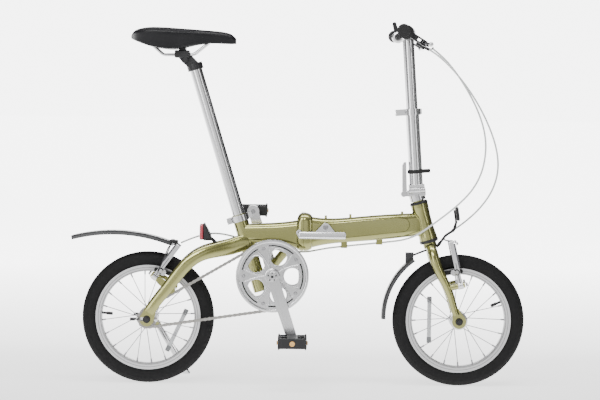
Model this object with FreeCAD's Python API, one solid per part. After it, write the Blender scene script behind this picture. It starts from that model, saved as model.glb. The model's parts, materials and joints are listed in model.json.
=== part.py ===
"""Folding bicycle with 14-inch wheels, standing on its kickstand.

Row frame, millimetres: +X forward, +Z up, the drive side on -Y, origin on the floor
under the middle of the bicycle. One STEP file per sub-part goes into parts/.
"""
import FreeCAD
import Part
import math
import os

V = FreeCAD.Vector

# ---------------------------------------------------------------- driving dimensions
WHEELBASE = 786.5
TYRE_R = 167.0                  # 14 x 1.50 tyre, bead seat 254 mm
TYRE_HALF_W = 20.0
RIM_R = 133.0
RIM_INNER_R = 117.0
RIM_HALF_W = 13.0
REAR_AXLE_X = -379.0
FRONT_AXLE_X = REAR_AXLE_X + WHEELBASE
AXLE_Z = TYRE_R
AXLE_R = 5.0
RUN_GAP = 0.05                  # radial clearance of a running fit
REAR_HALF_OLD = 55.0            # half of the 110 mm rear drop-out spacing
FRONT_HALF_OLD = 37.0           # half of the 74 mm front drop-out spacing
SPOKES = 20

CRANK_X = -64.5
CRANK_Z = 278.0
CRANK_LEN = 165.0
CRANK_ANGLE = 18.4              # right crank, degrees forward of straight down
CHAIN_Y = -42.0                 # chain line
RING_TEETH = 42
SPROCKET_TEETH = 11
CHAIN_PITCH = 12.7
GUARD_R = 92.0

SEAT_ANGLE = 17.0               # lean of the seat tube, degrees back
SEAT_X0 = -233.2                # a point on the seat tube's axis
SEAT_Z0 = 696.3
SEATPOST_R = 15.8
SEAT_TUBE_R = 19.0

STEER_ANGLE = 15.7              # lean of the head tube
STEER_X0 = 304.8                # top of the head tube
STEER_Z0 = 461.1
STEER_FOOT_Z = 371.7            # bottom of the head tube
STEERER_R = 14.3

POST_ANGLE = 3.94               # lean of the handlepost
POST_X0 = 295.5
POST_Z0 = 529.4
LOWER_POST_R = 17.0
UPPER_POST_R = 14.3
BAR_Z = 891.0
BAR_HALF = 250.0
BAR_SWEEP = 23.0                # how far the bar's ends lie behind its middle

SPLIT_X = 13.0                  # the plane where the main frame folds
FOLD_Y = 37.0                   # the fold's pin, on the left
FOLD_PIN_R = 4.0


# ---------------------------------------------------------------- helpers
def lean(angle):
    """Unit vector up an axis that leans back by angle degrees."""
    return V(-math.sin(math.radians(angle)), 0, math.cos(math.radians(angle)))


def on_axis(x0, z0, angle, z):
    """Point at height z on an axis through (x0, z0) that leans back by angle."""
    return V(x0 - (z - z0) * math.tan(math.radians(angle)), 0, z)


def seat_at(z):
    return on_axis(SEAT_X0, SEAT_Z0, SEAT_ANGLE, z)


def steer_at(z):
    return on_axis(STEER_X0, STEER_Z0, STEER_ANGLE, z)


def post_at(z):
    return on_axis(POST_X0, POST_Z0, POST_ANGLE, z)


def rod(start, end, radius):
    span = end.sub(start)
    return Part.makeCylinder(radius, span.Length, start, span)


def cone(start, end, r_start, r_end):
    span = end.sub(start)
    return Part.makeCone(r_start, r_end, span.Length, start, span)


def pipe(start, end, r_out, r_in):
    """Tube with its bore run past both ends before the cut."""
    along = end.sub(start).normalize()
    return rod(start, end, r_out).cut(rod(start.sub(along), end.add(along), r_in))


def block(x0, x1, y0, y1, z0, z1):
    return Part.makeBox(x1 - x0, y1 - y0, z1 - z0, V(x0, y0, z0))


def soft_block(x0, x1, y0, y1, z0, z1, radius):
    solid = block(x0, x1, y0, y1, z0, z1)
    return solid.makeFillet(radius, solid.Edges)


def disc(x, z, radius, y0, y1):
    """Disc about the Y direction."""
    return Part.makeCylinder(radius, abs(y1 - y0), V(x, min(y0, y1), z), V(0, 1, 0))


def washer(x, z, r_out, r_in, y0, y1):
    return disc(x, z, r_out, y0, y1).cut(disc(x, z, r_in, min(y0, y1) - 1, max(y0, y1) + 1))


def plate(points, y0, y1):
    """Flat plate from an outline in X and Z."""
    corners = [V(x, y0, z) for x, z in points]
    face = Part.Face(Part.makePolygon(corners + corners[:1]))
    return face.extrude(V(0, y1 - y0, 0))


def bar_plate(x0, z0, r0, x1, z1, r1, y0, y1):
    """Plate with two round ends joined by straight sides."""
    run = math.hypot(x1 - x0, z1 - z0)
    ux, uz = (x1 - x0) / run, (z1 - z0) / run
    sides = plate([(x0 - uz * r0, z0 + ux * r0), (x1 - uz * r1, z1 + ux * r1),
                   (x1 + uz * r1, z1 - ux * r1), (x0 + uz * r0, z0 - ux * r0)], y0, y1)
    return fuse([disc(x0, z0, r0, y0, y1), sides, disc(x1, z1, r1, y0, y1)])


def fuse(solids):
    joined = solids[0]
    for solid in solids[1:]:
        joined = joined.fuse(solid)
    return joined.removeSplitter()


def spin(profile, centre):
    """Solid of revolution about the Y direction from (radius, y) points and arcs.

    A point with a third value is the middle of an arc to the next point.
    """
    edges = []
    ring = profile + profile[:1]
    at = 0
    while at < len(profile):
        start = V(centre.x, ring[at][1], centre.z + ring[at][0])
        if len(ring[at + 1]) == 3:
            middle = V(centre.x, ring[at + 1][1], centre.z + ring[at + 1][0])
            end = V(centre.x, ring[at + 2][1], centre.z + ring[at + 2][0])
            edges.append(Part.Arc(start, middle, end).toShape())
            at += 2
        else:
            end = V(centre.x, ring[at + 1][1], centre.z + ring[at + 1][0])
            edges.append(Part.LineSegment(start, end).toShape())
            at += 1
    return Part.Face(Part.Wire(edges)).revolve(centre, V(0, 1, 0), 360)


def bent_rod(points, radius, bends):
    """Round rod along straight runs joined by tangent arcs."""
    edges = []
    here = points[0]
    for before, corner, after, bend in zip(points, points[1:], points[2:], bends):
        arrive = corner.sub(before).normalize()
        leave = after.sub(corner).normalize()
        half_turn = arrive.getAngle(leave) / 2
        reach = bend * math.tan(half_turn)
        start = corner.sub(V(arrive) * reach)
        end = corner.add(V(leave) * reach)
        inward = leave.sub(arrive).normalize()
        centre = corner.add(inward * (bend / math.cos(half_turn)))
        middle = centre.sub(inward * bend)
        edges.append(Part.LineSegment(here, start).toShape())
        edges.append(Part.Arc(start, middle, end).toShape())
        here = end
    edges.append(Part.LineSegment(here, points[-1]).toShape())
    path = Part.Wire(edges)
    first = points[1].sub(points[0])
    circle = Part.Wire(Part.makeCircle(radius, points[0], first))
    return path.makePipeShell([circle], True, True)


def route(points, radius):
    """Cable along a route: each bend is as large as its two runs allow."""
    bends = []
    for before, corner, after in zip(points, points[1:], points[2:]):
        short = min(corner.sub(before).Length, after.sub(corner).Length)
        turn = corner.sub(before).getAngle(after.sub(corner))
        bends.append(0.45 * short / math.tan(turn / 2))
    print("bend radii", [round(bend) for bend in bends])
    return bent_rod(points, radius, bends)


def oval(centre, along, half_y, half_n):
    """Ellipse wire square to a direction in the XZ plane; half_y is its Y half-width."""
    normal = V(-along.z, 0, along.x)
    aside = centre.add(V(0, half_y, 0))
    above = centre.add(V(normal) * half_n)
    first, second = (aside, above) if half_y >= half_n else (above, aside)
    ellipse = Part.Ellipse(first, second, centre)
    return Part.Wire(ellipse.toShape())


def rounded_wire(x, half_y, z_low, z_high, radius):
    """Rounded rectangle in the plane X = x."""
    y, r = half_y, radius
    k = r * (1 - math.sqrt(0.5))
    corners = [((y, z_low + r), (y, z_high - r), (y - k, z_high - k), (y - r, z_high)),
               ((y - r, z_high), (-y + r, z_high), (-y + k, z_high - k), (-y, z_high - r)),
               ((-y, z_high - r), (-y, z_low + r), (-y + k, z_low + k), (-y + r, z_low)),
               ((-y + r, z_low), (y - r, z_low), (y - k, z_low + k), (y, z_low + r))]
    edges = []
    for start, end, middle, leave in corners:
        edges.append(Part.LineSegment(V(x, *start), V(x, *end)).toShape())
        edges.append(Part.Arc(V(x, *end), V(x, *middle), V(x, *leave)).toShape())
    return Part.Wire(edges)


def loft(wires, ruled=False):
    return Part.makeLoft(wires, True, ruled)


def box_loft(stations, inset=0.0):
    """Beam of rounded rectangles; an inset gives the hollow inside walls of that thickness."""
    return loft([rounded_wire(x, half_y - inset, z_low + inset, z_high - inset, radius - inset)
                 for x, half_y, z_low, z_high, radius in stations])


def mirrored(solid):
    """The same solid on the other side of the bicycle."""
    return solid.mirror(V(0, 0, 0), V(0, 1, 0))


def tilt(solid, x, z, angle):
    """Turn a solid built upright at the origin back by angle and put it at (x, z)."""
    turned = solid.copy()
    turned.rotate(V(0, 0, 0), V(0, 1, 0), -angle)
    turned.translate(V(x, 0, z))
    return turned


def save(name, *solids):
    shape = solids[0] if len(solids) == 1 else Part.makeCompound(list(solids))
    for solid in shape.Solids:
        assert solid.isValid(), name
    shape.exportStep("parts/%s.step" % name)


# ---------------------------------------------------------------- wheels
FLANGE_Y = {"rear": 26.0, "front": 24.0}
FLANGE_R = {"rear": 25.0, "front": 22.5}
HALF_OLD = {"rear": REAR_HALF_OLD, "front": FRONT_HALF_OLD}
BOSS_R = 16.7                   # the rear hub's boss that carries the freewheel


def tyre(centre):
    half = [(126, 9.6), (133.4, 10.3), (134.5, 15.6), (147, TYRE_HALF_W, "arc"), (161, 14.2),
            (165.6, 10.6, "arc"), (TYRE_R, 7.0)]
    inner = [(163.4, 6.0), (159.5, 9.6), (147, 16.8, "arc"), (135.5, 12.2), (134.2, 7.4),
             (126, 7.4)]
    outer_back = [(r, -y, *rest) for r, y, *rest in reversed(half)]
    inner_back = [(r, -y, *rest) for r, y, *rest in reversed(inner)]
    return spin(half + outer_back + inner_back + inner, centre)


def rim(centre):
    outside = [(RIM_R, RIM_HALF_W), (RIM_INNER_R + 2, 12.0), (RIM_INNER_R, 8.0)]
    inside = [(120.0, 6.0), (121.5, 9.4), (RIM_R, 10.5)]
    return spin(outside + [(r, -y) for r, y in reversed(outside)]
                + [(r, -y) for r, y in reversed(inside)] + inside, centre)


def polar(centre, radius, degrees, y=0.0):
    turn = math.radians(degrees)
    return V(centre.x + radius * math.cos(turn), y, centre.z + radius * math.sin(turn))


def spokes(centre, end, first):
    """Spokes laced in crossing pairs, each with its nipple at the rim."""
    made = []
    step = 360.0 / SPOKES
    for n in range(SPOKES):
        side = 1 if n % 2 else -1
        twist = 24.0 if n % 4 < 2 else -24.0
        angle = first + n * step
        hub_end = polar(centre, FLANGE_R[end] - 2.5, angle + twist, side * FLANGE_Y[end])
        rim_end = polar(centre, RIM_INNER_R + 3.5, angle, side * 1.5)
        along = rim_end.sub(hub_end).normalize()
        nipple_foot = rim_end.sub(V(along) * 13.0)
        made.append(rod(hub_end, rim_end, 1.0).fuse(rod(nipple_foot, rim_end, 2.0)))
    return made


def hub(centre, end):
    """Hub shell with two spoke flanges, bored for the fixed axle."""
    flange_y, flange_r = FLANGE_Y[end], FLANGE_R[end]
    bore = AXLE_R + RUN_GAP
    reach = HALF_OLD[end] - 2.0
    barrel = 13.0 if end == "front" else 15.0
    profile = [(bore, -reach), (9.0, -reach), (10.5, -reach + 2), (10.5, -flange_y - 5),
               (flange_r, -flange_y - 1.6), (flange_r, -flange_y + 1.6),
               (barrel, -flange_y + 7), (barrel, flange_y - 7),
               (flange_r, flange_y - 1.6), (flange_r, flange_y + 1.6), (10.5, flange_y + 5),
               (10.5, reach - 2), (9.0, reach), (bore, reach)]
    if end == "rear":
        profile[2:4] = [(BOSS_R, -reach + 8), (BOSS_R, -flange_y - 3)]
        profile[1] = (BOSS_R - 3, -reach + 8)
        profile[0] = (bore, -reach + 8)
    return spin(profile, centre)


def wheel_fittings(centre, valve_angle, bar_angle, bar_r):
    """Valve with its cap, and the reflector clipped across the spokes."""
    stem = rod(polar(centre, 121.0, valve_angle), polar(centre, 108.0, valve_angle), 2.9)
    cap = rod(polar(centre, 108.0, valve_angle), polar(centre, 92.0, valve_angle), 4.2)
    bar = soft_block(-59, 59, -2.6, 2.6, -6, 6, 1.2)
    bar.rotate(V(0, 0, 0), V(0, 1, 0), 90 - bar_angle)
    bar.translate(polar(centre, bar_r, bar_angle))
    return [stem.fuse(cap), bar]


def make_wheels():
    for end, x, valve, bar, bar_r, first in (
            ("rear", REAR_AXLE_X, 175.5, -25.0, 80.0, 4.5),
            ("front", FRONT_AXLE_X, 24.0, 180.0, 73.0, 1.0)):
        centre = V(x, 0, AXLE_Z)
        save(end + "_tyre", tyre(centre))
        save(end + "_rim", rim(centre))
        save(end + "_spokes", *spokes(centre, end, first))
        save(end + "_hub", hub(centre, end))
        save(end + "_wheel_fittings", *wheel_fittings(centre, valve, bar, bar_r))


def axle(x, half_old, drop, washer_r):
    """Threaded axle with a nut and washer outside each drop-out of thickness drop."""
    reach = half_old + drop + 14.0
    pieces = [disc(x, AXLE_Z, AXLE_R, -reach, reach)]
    for side in (-1, 1):
        inner = side * half_old
        pieces.append(washer(x, AXLE_Z, 8.0, AXLE_R, inner, inner - side * 1.6))
        face = side * (half_old + drop)
        pieces.append(washer(x, AXLE_Z, washer_r, AXLE_R, face, face + side * 2.0))
        nut = hexagon(x, AXLE_Z, 8.6, face + side * 2.0, face + side * 11.0)
        pieces.append(nut.cut(disc(x, AXLE_Z, AXLE_R, -reach, reach)))
    return pieces


def hexagon(x, z, radius, y0, y1):
    corners = [(x + radius * math.cos(math.radians(60 * n)),
                z + radius * math.sin(math.radians(60 * n))) for n in range(6)]
    return plate(corners, y0, y1)


# ---------------------------------------------------------------- drive
def toothed_ring(x, z, teeth, thickness, root_drop=4.0, tip_rise=3.2):
    """Sprocket plate: trapezoid teeth round its pitch circle."""
    pitch_r = CHAIN_PITCH / (2 * math.sin(math.pi / teeth))
    points = []
    for n in range(teeth):
        for share, radius in ((-0.25, pitch_r - root_drop), (-0.12, pitch_r + tip_rise),
                              (0.12, pitch_r + tip_rise), (0.25, pitch_r - root_drop)):
            turn = 2 * math.pi * (n + share) / teeth
            points.append((x + radius * math.cos(turn), z + radius * math.sin(turn)))
    return plate(points, CHAIN_Y - thickness / 2, CHAIN_Y + thickness / 2)


RING_HOLE_R = 21.0              # round holes of the spider
RING_HOLE_AT = 50.0
SPIDER_Y = (-48.6, -45.9)


def chainring():
    """Toothed ring, and the spider with its flat guard ring outside the chain."""
    ring = toothed_ring(CRANK_X, CRANK_Z, RING_TEETH, 2.2)
    ring = ring.cut(disc(CRANK_X, CRANK_Z, 70.0, CHAIN_Y - 5, CHAIN_Y + 5))
    guard = disc(CRANK_X, CRANK_Z, GUARD_R, *SPIDER_Y)
    rim_edges = [e for e in guard.Edges if abs(e.Length - 2 * math.pi * GUARD_R) < 0.01]
    guard = guard.makeChamfer(1.2, rim_edges)
    guard = guard.cut(disc(CRANK_X, CRANK_Z, 8.6, -60, -30))
    rivets = []
    for n in range(5):
        angle = 72.0 * n
        hole = polar(V(CRANK_X, 0, CRANK_Z), RING_HOLE_AT, angle)
        guard = guard.cut(disc(hole.x, hole.z, RING_HOLE_R, -60, -30))
        guard = guard.cut(arc_slot(74.0, 81.0, angle, 17.0))
        seat = polar(V(CRANK_X, 0, CRANK_Z), 72.5, angle + 36.0)
        rivets.append(disc(seat.x, seat.z, 5.0, SPIDER_Y[1], CHAIN_Y - 1.1))
    return [ring, guard] + rivets


def arc_slot(r_in, r_out, angle, half_span):
    """Curved slot with square ends about the crank's axis."""
    sweep = washer(CRANK_X, CRANK_Z, r_out, r_in, -60, -30)
    far = 2 * r_out
    left = math.radians(angle - half_span)
    right = math.radians(angle + half_span)
    wedge = plate([(CRANK_X, CRANK_Z),
                   (CRANK_X + far * math.cos(left), CRANK_Z + far * math.sin(left)),
                   (CRANK_X + far * math.cos(right), CRANK_Z + far * math.sin(right))], -60, -30)
    return sweep.common(wedge)


CRANK_Y = (55.0, 68.0)          # the crank arms' inner and outer faces
SPINDLE_R = 8.5
PEDAL_SPINDLE_R = 6.0


def pedal_centre(side):
    """Centre of the pedal's axis; side is -1 on the right and 1 on the left."""
    turn = math.radians(CRANK_ANGLE)
    return V(CRANK_X - side * CRANK_LEN * math.sin(turn), 0,
             CRANK_Z + side * CRANK_LEN * math.cos(turn))


def crank(side):
    pedal = pedal_centre(side)
    y_in, y_out = side * CRANK_Y[0], side * CRANK_Y[1]
    arm = bar_plate(CRANK_X, CRANK_Z, 15.5, pedal.x, pedal.z, 13.0, y_in, y_out)
    boss = disc(CRANK_X, CRANK_Z, 17.0, side * 48.6, y_out)
    eye = disc(pedal.x, pedal.z, 15.6, y_in + side * 1.0, y_out)
    arm = fuse([arm, boss, eye])
    ux = (pedal.x - CRANK_X) / CRANK_LEN
    uz = (pedal.z - CRANK_Z) / CRANK_LEN
    groove = bar_plate(CRANK_X + ux * 32, CRANK_Z + uz * 32, 4.5, CRANK_X + ux * 138,
                       CRANK_Z + uz * 138, 4.5, side * 65.8, side * 70)
    arm = arm.cut(groove)
    arm = arm.cut(disc(CRANK_X, CRANK_Z, SPINDLE_R, -80, 80))
    return arm.cut(disc(pedal.x, pedal.z, PEDAL_SPINDLE_R, -80, 80))


def spindles():
    """Bottom bracket spindle with its two bolts, and the two pedal spindles."""
    made = [disc(CRANK_X, CRANK_Z, SPINDLE_R, -64, 64)]
    for side in (-1, 1):
        made.append(disc(CRANK_X, CRANK_Z, 8.3, side * 64, side * 68.5))
        pedal = pedal_centre(side)
        shaft = disc(pedal.x, pedal.z, PEDAL_SPINDLE_R, side * 55.5, side * 162)
        collar = disc(pedal.x, pedal.z, 9.0, side * 68, side * 72)
        made.append(shaft.fuse(collar))
    return made


def pedal(side):
    """Platform pedal with toothed edges, bored for its spindle."""
    at = pedal_centre(side)
    y0, y1 = sorted((side * 76.0, side * 164.0))
    body = soft_block(at.x - 36, at.x + 36, y0, y1, at.z - 13, at.z + 13, 3.0)
    mid = (y0 + y1) / 2
    for dx in (-21.5, 21.5):
        for dy in (-21.0, 21.0):
            body = body.cut(block(at.x + dx - 8.5, at.x + dx + 8.5, mid + dy - 17, mid + dy + 17,
                                  at.z - 20, at.z + 20))
    teeth = []
    for n in range(6):
        y = mid - 35 + 14 * n
        for sx in (-1, 1):
            x = at.x + sx * 33
            teeth.append(cone(V(x, y, at.z + 12.5), V(x, y, at.z + 16), 2.6, 1.4))
            teeth.append(cone(V(x, y, at.z - 12.5), V(x, y, at.z - 16), 2.6, 1.4))
    body = fuse([body] + teeth)
    bore_end = side * 163
    body = body.cut(disc(at.x, at.z, PEDAL_SPINDLE_R + RUN_GAP, side * 70, bore_end))
    lenses = []
    for sx in (-1, 1):
        x0, x1 = sorted((at.x + sx * 36.1, at.x + sx * 39.0))
        lenses.append(block(x0, x1, mid - 20, mid + 20, at.z - 5, at.z + 5))
    lenses.append(disc(at.x, at.z, 6.4, side * 164.05, side * 166.0))
    return [body] + lenses


def tangent_belt(r_small, r_large, y0, y1):
    """Belt-shaped plate round the sprocket's and the chainring's centres."""
    dx, dz = CRANK_X - REAR_AXLE_X, CRANK_Z - AXLE_Z
    run = math.hypot(dx, dz)
    base = math.atan2(dz, dx)
    swing = math.asin((r_large - r_small) / run)
    corners = []
    for side, x, z, radius in ((1, REAR_AXLE_X, AXLE_Z, r_small), (1, CRANK_X, CRANK_Z, r_large),
                               (-1, CRANK_X, CRANK_Z, r_large), (-1, REAR_AXLE_X, AXLE_Z, r_small)):
        normal = base + side * (math.pi / 2 + swing)
        corners.append((x + radius * math.cos(normal), z + radius * math.sin(normal)))
    return fuse([disc(REAR_AXLE_X, AXLE_Z, r_small, y0, y1), plate(corners, y0, y1),
                 disc(CRANK_X, CRANK_Z, r_large, y0, y1)])


def chain():
    """Chain loop as its two rows of side plates, with rollers on the straight runs."""
    ring_r = CHAIN_PITCH / (2 * math.sin(math.pi / RING_TEETH))
    cog_r = CHAIN_PITCH / (2 * math.sin(math.pi / SPROCKET_TEETH))
    made = []
    for y0, y1 in ((CHAIN_Y - 3.4, CHAIN_Y - 1.6), (CHAIN_Y + 1.6, CHAIN_Y + 3.4)):
        outer = tangent_belt(cog_r + 4, ring_r + 4, y0, y1)
        made.append(outer.cut(tangent_belt(cog_r - 4, ring_r - 4, y0 - 1, y1 + 1)))
    dx, dz = CRANK_X - REAR_AXLE_X, CRANK_Z - AXLE_Z
    run = math.hypot(dx, dz)
    swing = math.asin((ring_r - cog_r) / run)
    for side in (-1, 1):
        normal = math.atan2(dz, dx) + side * (math.pi / 2 + swing)
        start = V(REAR_AXLE_X + cog_r * math.cos(normal), 0, AXLE_Z + cog_r * math.sin(normal))
        end = V(CRANK_X + ring_r * math.cos(normal), 0, CRANK_Z + ring_r * math.sin(normal))
        along = end.sub(start)
        count = int(along.Length / CHAIN_PITCH) - 2
        along.normalize()
        for n in range(1, count):
            at = start.add(V(along) * (n * CHAIN_PITCH + 6.0))
            made.append(disc(at.x, at.z, 3.2, CHAIN_Y - 1.6, CHAIN_Y + 1.6))
    return made


def freewheel():
    cog = toothed_ring(REAR_AXLE_X, AXLE_Z, SPROCKET_TEETH, 2.2, 4.2, 3.0)
    body = disc(REAR_AXLE_X, AXLE_Z, 18.2, CHAIN_Y - 2.5, CHAIN_Y + 6.0)
    return fuse([cog, body]).cut(disc(REAR_AXLE_X, AXLE_Z, BOSS_R + 0.3, -70, -20))


def bottom_bracket():
    """Shell of the bottom bracket and the bearing cartridge inside it."""
    cartridge = disc(CRANK_X, CRANK_Z, 17.0, -35.5, 35.5)
    for side in (-1, 1):
        cartridge = cartridge.fuse(disc(CRANK_X, CRANK_Z, 19.0, side * 34, side * 36))
    cartridge = cartridge.cut(disc(CRANK_X, CRANK_Z, SPINDLE_R + RUN_GAP, -40, 40))
    return washer(CRANK_X, CRANK_Z, 20.0, 17.0, -34, 34), cartridge.removeSplitter()


# ---------------------------------------------------------------- rear frame
def turned(profile):
    """Solid of revolution about Z at the origin from (radius, height) points and arcs."""
    edges = []
    ring = profile + profile[:1]
    at = 0
    while at < len(profile):
        start = V(ring[at][0], 0, ring[at][1])
        if len(ring[at + 1]) == 3:
            middle = V(ring[at + 1][0], 0, ring[at + 1][1])
            end = V(ring[at + 2][0], 0, ring[at + 2][1])
            edges.append(Part.Arc(start, middle, end).toShape())
            at += 2
        else:
            end = V(ring[at + 1][0], 0, ring[at + 1][1])
            edges.append(Part.LineSegment(start, end).toShape())
            at += 1
    return Part.Face(Part.Wire(edges)).revolve(V(0, 0, 0), V(0, 0, 1), 360)


SEAT_TUBE_FOOT_Z = 236.5
SEAT_TUBE_TOP_Z = 430.0
STRUT_FOOT = V(-82.0, 0, 279.0)
STRUT_TOP = V(-14.0, 0, 360.0)


def seat_tube_envelope():
    return rod(seat_at(SEAT_TUBE_FOOT_Z), seat_at(SEAT_TUBE_TOP_Z), SEAT_TUBE_R)


def seat_tube():
    tube = pipe(seat_at(SEAT_TUBE_FOOT_Z), seat_at(SEAT_TUBE_TOP_Z), SEAT_TUBE_R,
                SEATPOST_R + RUN_GAP)
    top = seat_at(SEAT_TUBE_TOP_Z)
    slit = block(top.x - 30, top.x, -1.2, 1.2, SEAT_TUBE_TOP_Z - 25, SEAT_TUBE_TOP_Z + 10)
    return tube.cut(slit).cut(disc(CRANK_X, CRANK_Z, 20.0, -34, 34))


REAR_BEAM_STATIONS = [(-136, 19, 360, 406, 14), (-100, 20.5, 357, 408, 15),
                      (-50, 22, 353, 411, 16), (-4, 23.5, 345, 417, 17)]
FRONT_BEAM_STATIONS = [(35, 23.5, 348, 426, 17), (62, 22.8, 354.5, 423, 17),
                       (180, 22, 367, 430.5, 16), (288, 20, 379, 438, 15),
                       (317, 16, 382, 440, 13)]
BEAM_WALL = 2.6
TUBE_WALL = 2.0


def rear_beam():
    return box_loft(REAR_BEAM_STATIONS).cut(seat_tube_envelope())


def hinge_plate(x0, x1):
    return Part.Face(rounded_wire(x0, 30, 340, 436, 22)).extrude(V(x1 - x0, 0, 0))


def hinge_pocket(station, x0, x1):
    """Hollow in a hinge plate that carries a beam's inside on towards the split."""
    _, half_y, z_low, z_high, radius = station
    return box_loft([(x, half_y, z_low, z_high, radius) for x in (x0, x1)], BEAM_WALL)


def fold_barrel(radius, z0, z1):
    return Part.makeCylinder(radius, z1 - z0, V(SPLIT_X, FOLD_Y, z0))


def rear_hinge_half():
    """Rear plate of the frame's hinge with its two knuckles, and the pin they hold."""
    half = hinge_plate(-4, SPLIT_X - 0.3).cut(hinge_pocket(REAR_BEAM_STATIONS[-1], -4, 5))
    for z0, z1 in ((344, 364), (412, 432)):
        web = block(-2, SPLIT_X - 0.3, 26, FOLD_Y, z0, z1)
        half = half.fuse(web).fuse(fold_barrel(9.0, z0, z1))
    half = half.cut(fold_barrel(9.6, 364, 412)).cut(fold_barrel(FOLD_PIN_R, 330, 440))
    hook = disc(3.5, 388, 5.0, -30, -41)
    return [half.fuse(hook).removeSplitter(), fold_barrel(FOLD_PIN_R, 342, 434)]


def front_hinge_half():
    half = hinge_plate(SPLIT_X + 0.3, 35).cut(hinge_pocket(FRONT_BEAM_STATIONS[0], 21, 35))
    half = half.fuse(block(SPLIT_X + 0.3, 33, 26, FOLD_Y, 364.4, 411.6))
    half = half.fuse(fold_barrel(9.0, 364.4, 411.6))
    for z0, z1 in ((330, 364.3), (411.7, 440)):
        half = half.cut(fold_barrel(9.6, z0, z1))
    return half.cut(fold_barrel(FOLD_PIN_R + RUN_GAP, 330, 440)).removeSplitter()


def strut():
    """Round strut from the bottom bracket up to the rear beam."""
    tube = rod(STRUT_FOOT, STRUT_TOP, 11.5)
    for solid in (seat_tube_envelope(), disc(CRANK_X, CRANK_Z, 20.0, -34, 34), REAR_BEAM):
        tube = tube.cut(solid)
    return max(tube.Solids, key=lambda piece: piece.Volume)


STAY_STATIONS = [(-124, 13.5, 357, 8, 21), (-165, 21, 350, 8, 20), (-215, 33, 338.8, 8.5, 18),
                 (-253, 42, 325.5, 9, 16.5), (-288, 49, 297, 8.5, 16), (-325, 53.5, 250, 7.5, 15),
                 (-362, 57, 202.6, 6.5, 14), (-374, 58, 184, 4, 14)]
DROP_THICK = 5.0
REAR_BOSS = V(-354.8, 40, 269.1)
REAR_BRAKE_LEAN = -36.9         # the rear brake arms lean forward
FRONT_BOSS = V(403.1, 40, 257.2)
FRONT_BRAKE_LEAN = 12.7
BOSS_PIN_R = 5.0


def boss(pivot, lean_angle, way, root):
    """Brake boss: a stub, its pin and the bolt head; way is 1 forward, -1 backward."""
    stub = Part.makeCylinder(8.0, root, V(0, 0, 0), V(-way, 0, 0))
    pin = Part.makeCylinder(BOSS_PIN_R, 15.0, V(-way, 0, 0), V(way, 0, 0))
    head = Part.makeCylinder(7.5, 4.0, V(way * 14.0, 0, 0), V(way, 0, 0))
    made = tilt(fuse([stub, pin, head]), pivot.x, pivot.z, lean_angle)
    made.translate(V(0, pivot.y, 0))
    return made


def stay_tube(stations, inset=0.0):
    sections = []
    for n, (x, y, z, half_y, half_n) in enumerate(stations):
        before = stations[max(n - 1, 0)]
        after = stations[min(n + 1, len(stations) - 1)]
        along = V(after[0] - before[0], 0, after[2] - before[2]).normalize()
        sections.append(oval(V(x, y, z), along, half_y - inset, half_n - inset))
    return loft(sections)


def stay():
    """Left rear stay with its drop-out and brake boss, not yet hollow."""
    arm = stay_tube(STAY_STATIONS)
    inner, outer = REAR_HALF_OLD, REAR_HALF_OLD + DROP_THICK
    drop = bar_plate(REAR_AXLE_X, AXLE_Z, 18.0, REAR_AXLE_X + 11, AXLE_Z + 26, 14.0, inner, outer)
    ear = bar_plate(REAR_BOSS.x + 8, REAR_BOSS.z - 6, 8.5, -320, 243, 12.0, 46.5, 52)
    arm = fuse([arm, drop, ear, boss(REAR_BOSS, REAR_BRAKE_LEAN, -1, 16.0)])
    slot = bar_plate(REAR_AXLE_X, AXLE_Z, AXLE_R, REAR_AXLE_X - 30, AXLE_Z, AXLE_R, 50, 70)
    return arm.cut(slot).cut(seat_tube_envelope()).cut(REAR_BEAM)


def braces():
    """Gusset between stays and seat tube, the stays' bridge and the fender's bridge."""
    gusset = plate([(-133, 352), (-165, 331), (-219, 322), (-205, 333), (-165, 352)], -3, 3)
    gusset = gusset.cut(plate([(-149, 344), (-168, 339), (-160, 347)], -5, 5))
    bridge = rod(V(-246, -36, 331), V(-246, 36, 331), 7.0)
    pieces = []
    for piece in (gusset, bridge):
        for solid in (seat_tube_envelope(), STAY, mirrored(STAY)):
            piece = piece.cut(solid)
        pieces.append(max(piece.Solids, key=lambda part: part.Volume))
    return pieces


def rear_axle():
    pieces = axle(REAR_AXLE_X, REAR_HALF_OLD, DROP_THICK, 9.5)
    spacer = washer(REAR_AXLE_X, AXLE_Z, 9.0, AXLE_R, -REAR_HALF_OLD + 1.6, -REAR_HALF_OLD + 9.6)
    for side in (-1, 1):
        y = side * 57.5
        screw = rod(V(-398, y, AXLE_Z), V(-412, y, AXLE_Z), 2.2)
        cap = rod(V(-409, y, AXLE_Z), V(-421, y, AXLE_Z), 4.0)
        pieces.append(screw.fuse(cap))
    return pieces + [spacer]


# ---------------------------------------------------------------- quick releases
def ears(reach, height):
    """Two ears behind a split clamp at the origin, out to reach, 9 mm either side."""
    made = block(-reach, -14, -9, 9, -height / 2, height / 2)
    return made.cut(block(-reach - 1, 0, -1.2, 1.2, -height, height))


def clamp(r_out, r_in, reach, height):
    ring = Part.makeCylinder(r_out, height, V(0, 0, -height / 2))
    ring = ring.fuse(ears(reach, height))
    ring = ring.cut(Part.makeCylinder(r_in, height + 4, V(0, 0, -height / 2 - 2)))
    ring = ring.cut(block(-reach - 1, 0, -1.2, 1.2, -height, height))
    return ring.cut(rod(V(-reach + 6, -20, 0), V(-reach + 6, 20, 0), 2.5))


QR_Y = 17.0                     # the cam pin's distance from the clamp's middle plane


def skewer(reach):
    """Skewer across the ears with its nut, and the eye and pin of its lever."""
    x = -reach + 6
    shaft = rod(V(x, -17, 0), V(x, QR_Y, 0), 2.5)
    nut = rod(V(x, -17, 0), V(x, -9, 0), 6.5)
    eye = Part.makeCylinder(5.0, 5.0, V(x, QR_Y, -2.5))
    pin = Part.makeCylinder(2.5, 16.0, V(x, QR_Y, -8))
    return fuse([shaft, nut, eye, pin])


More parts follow.
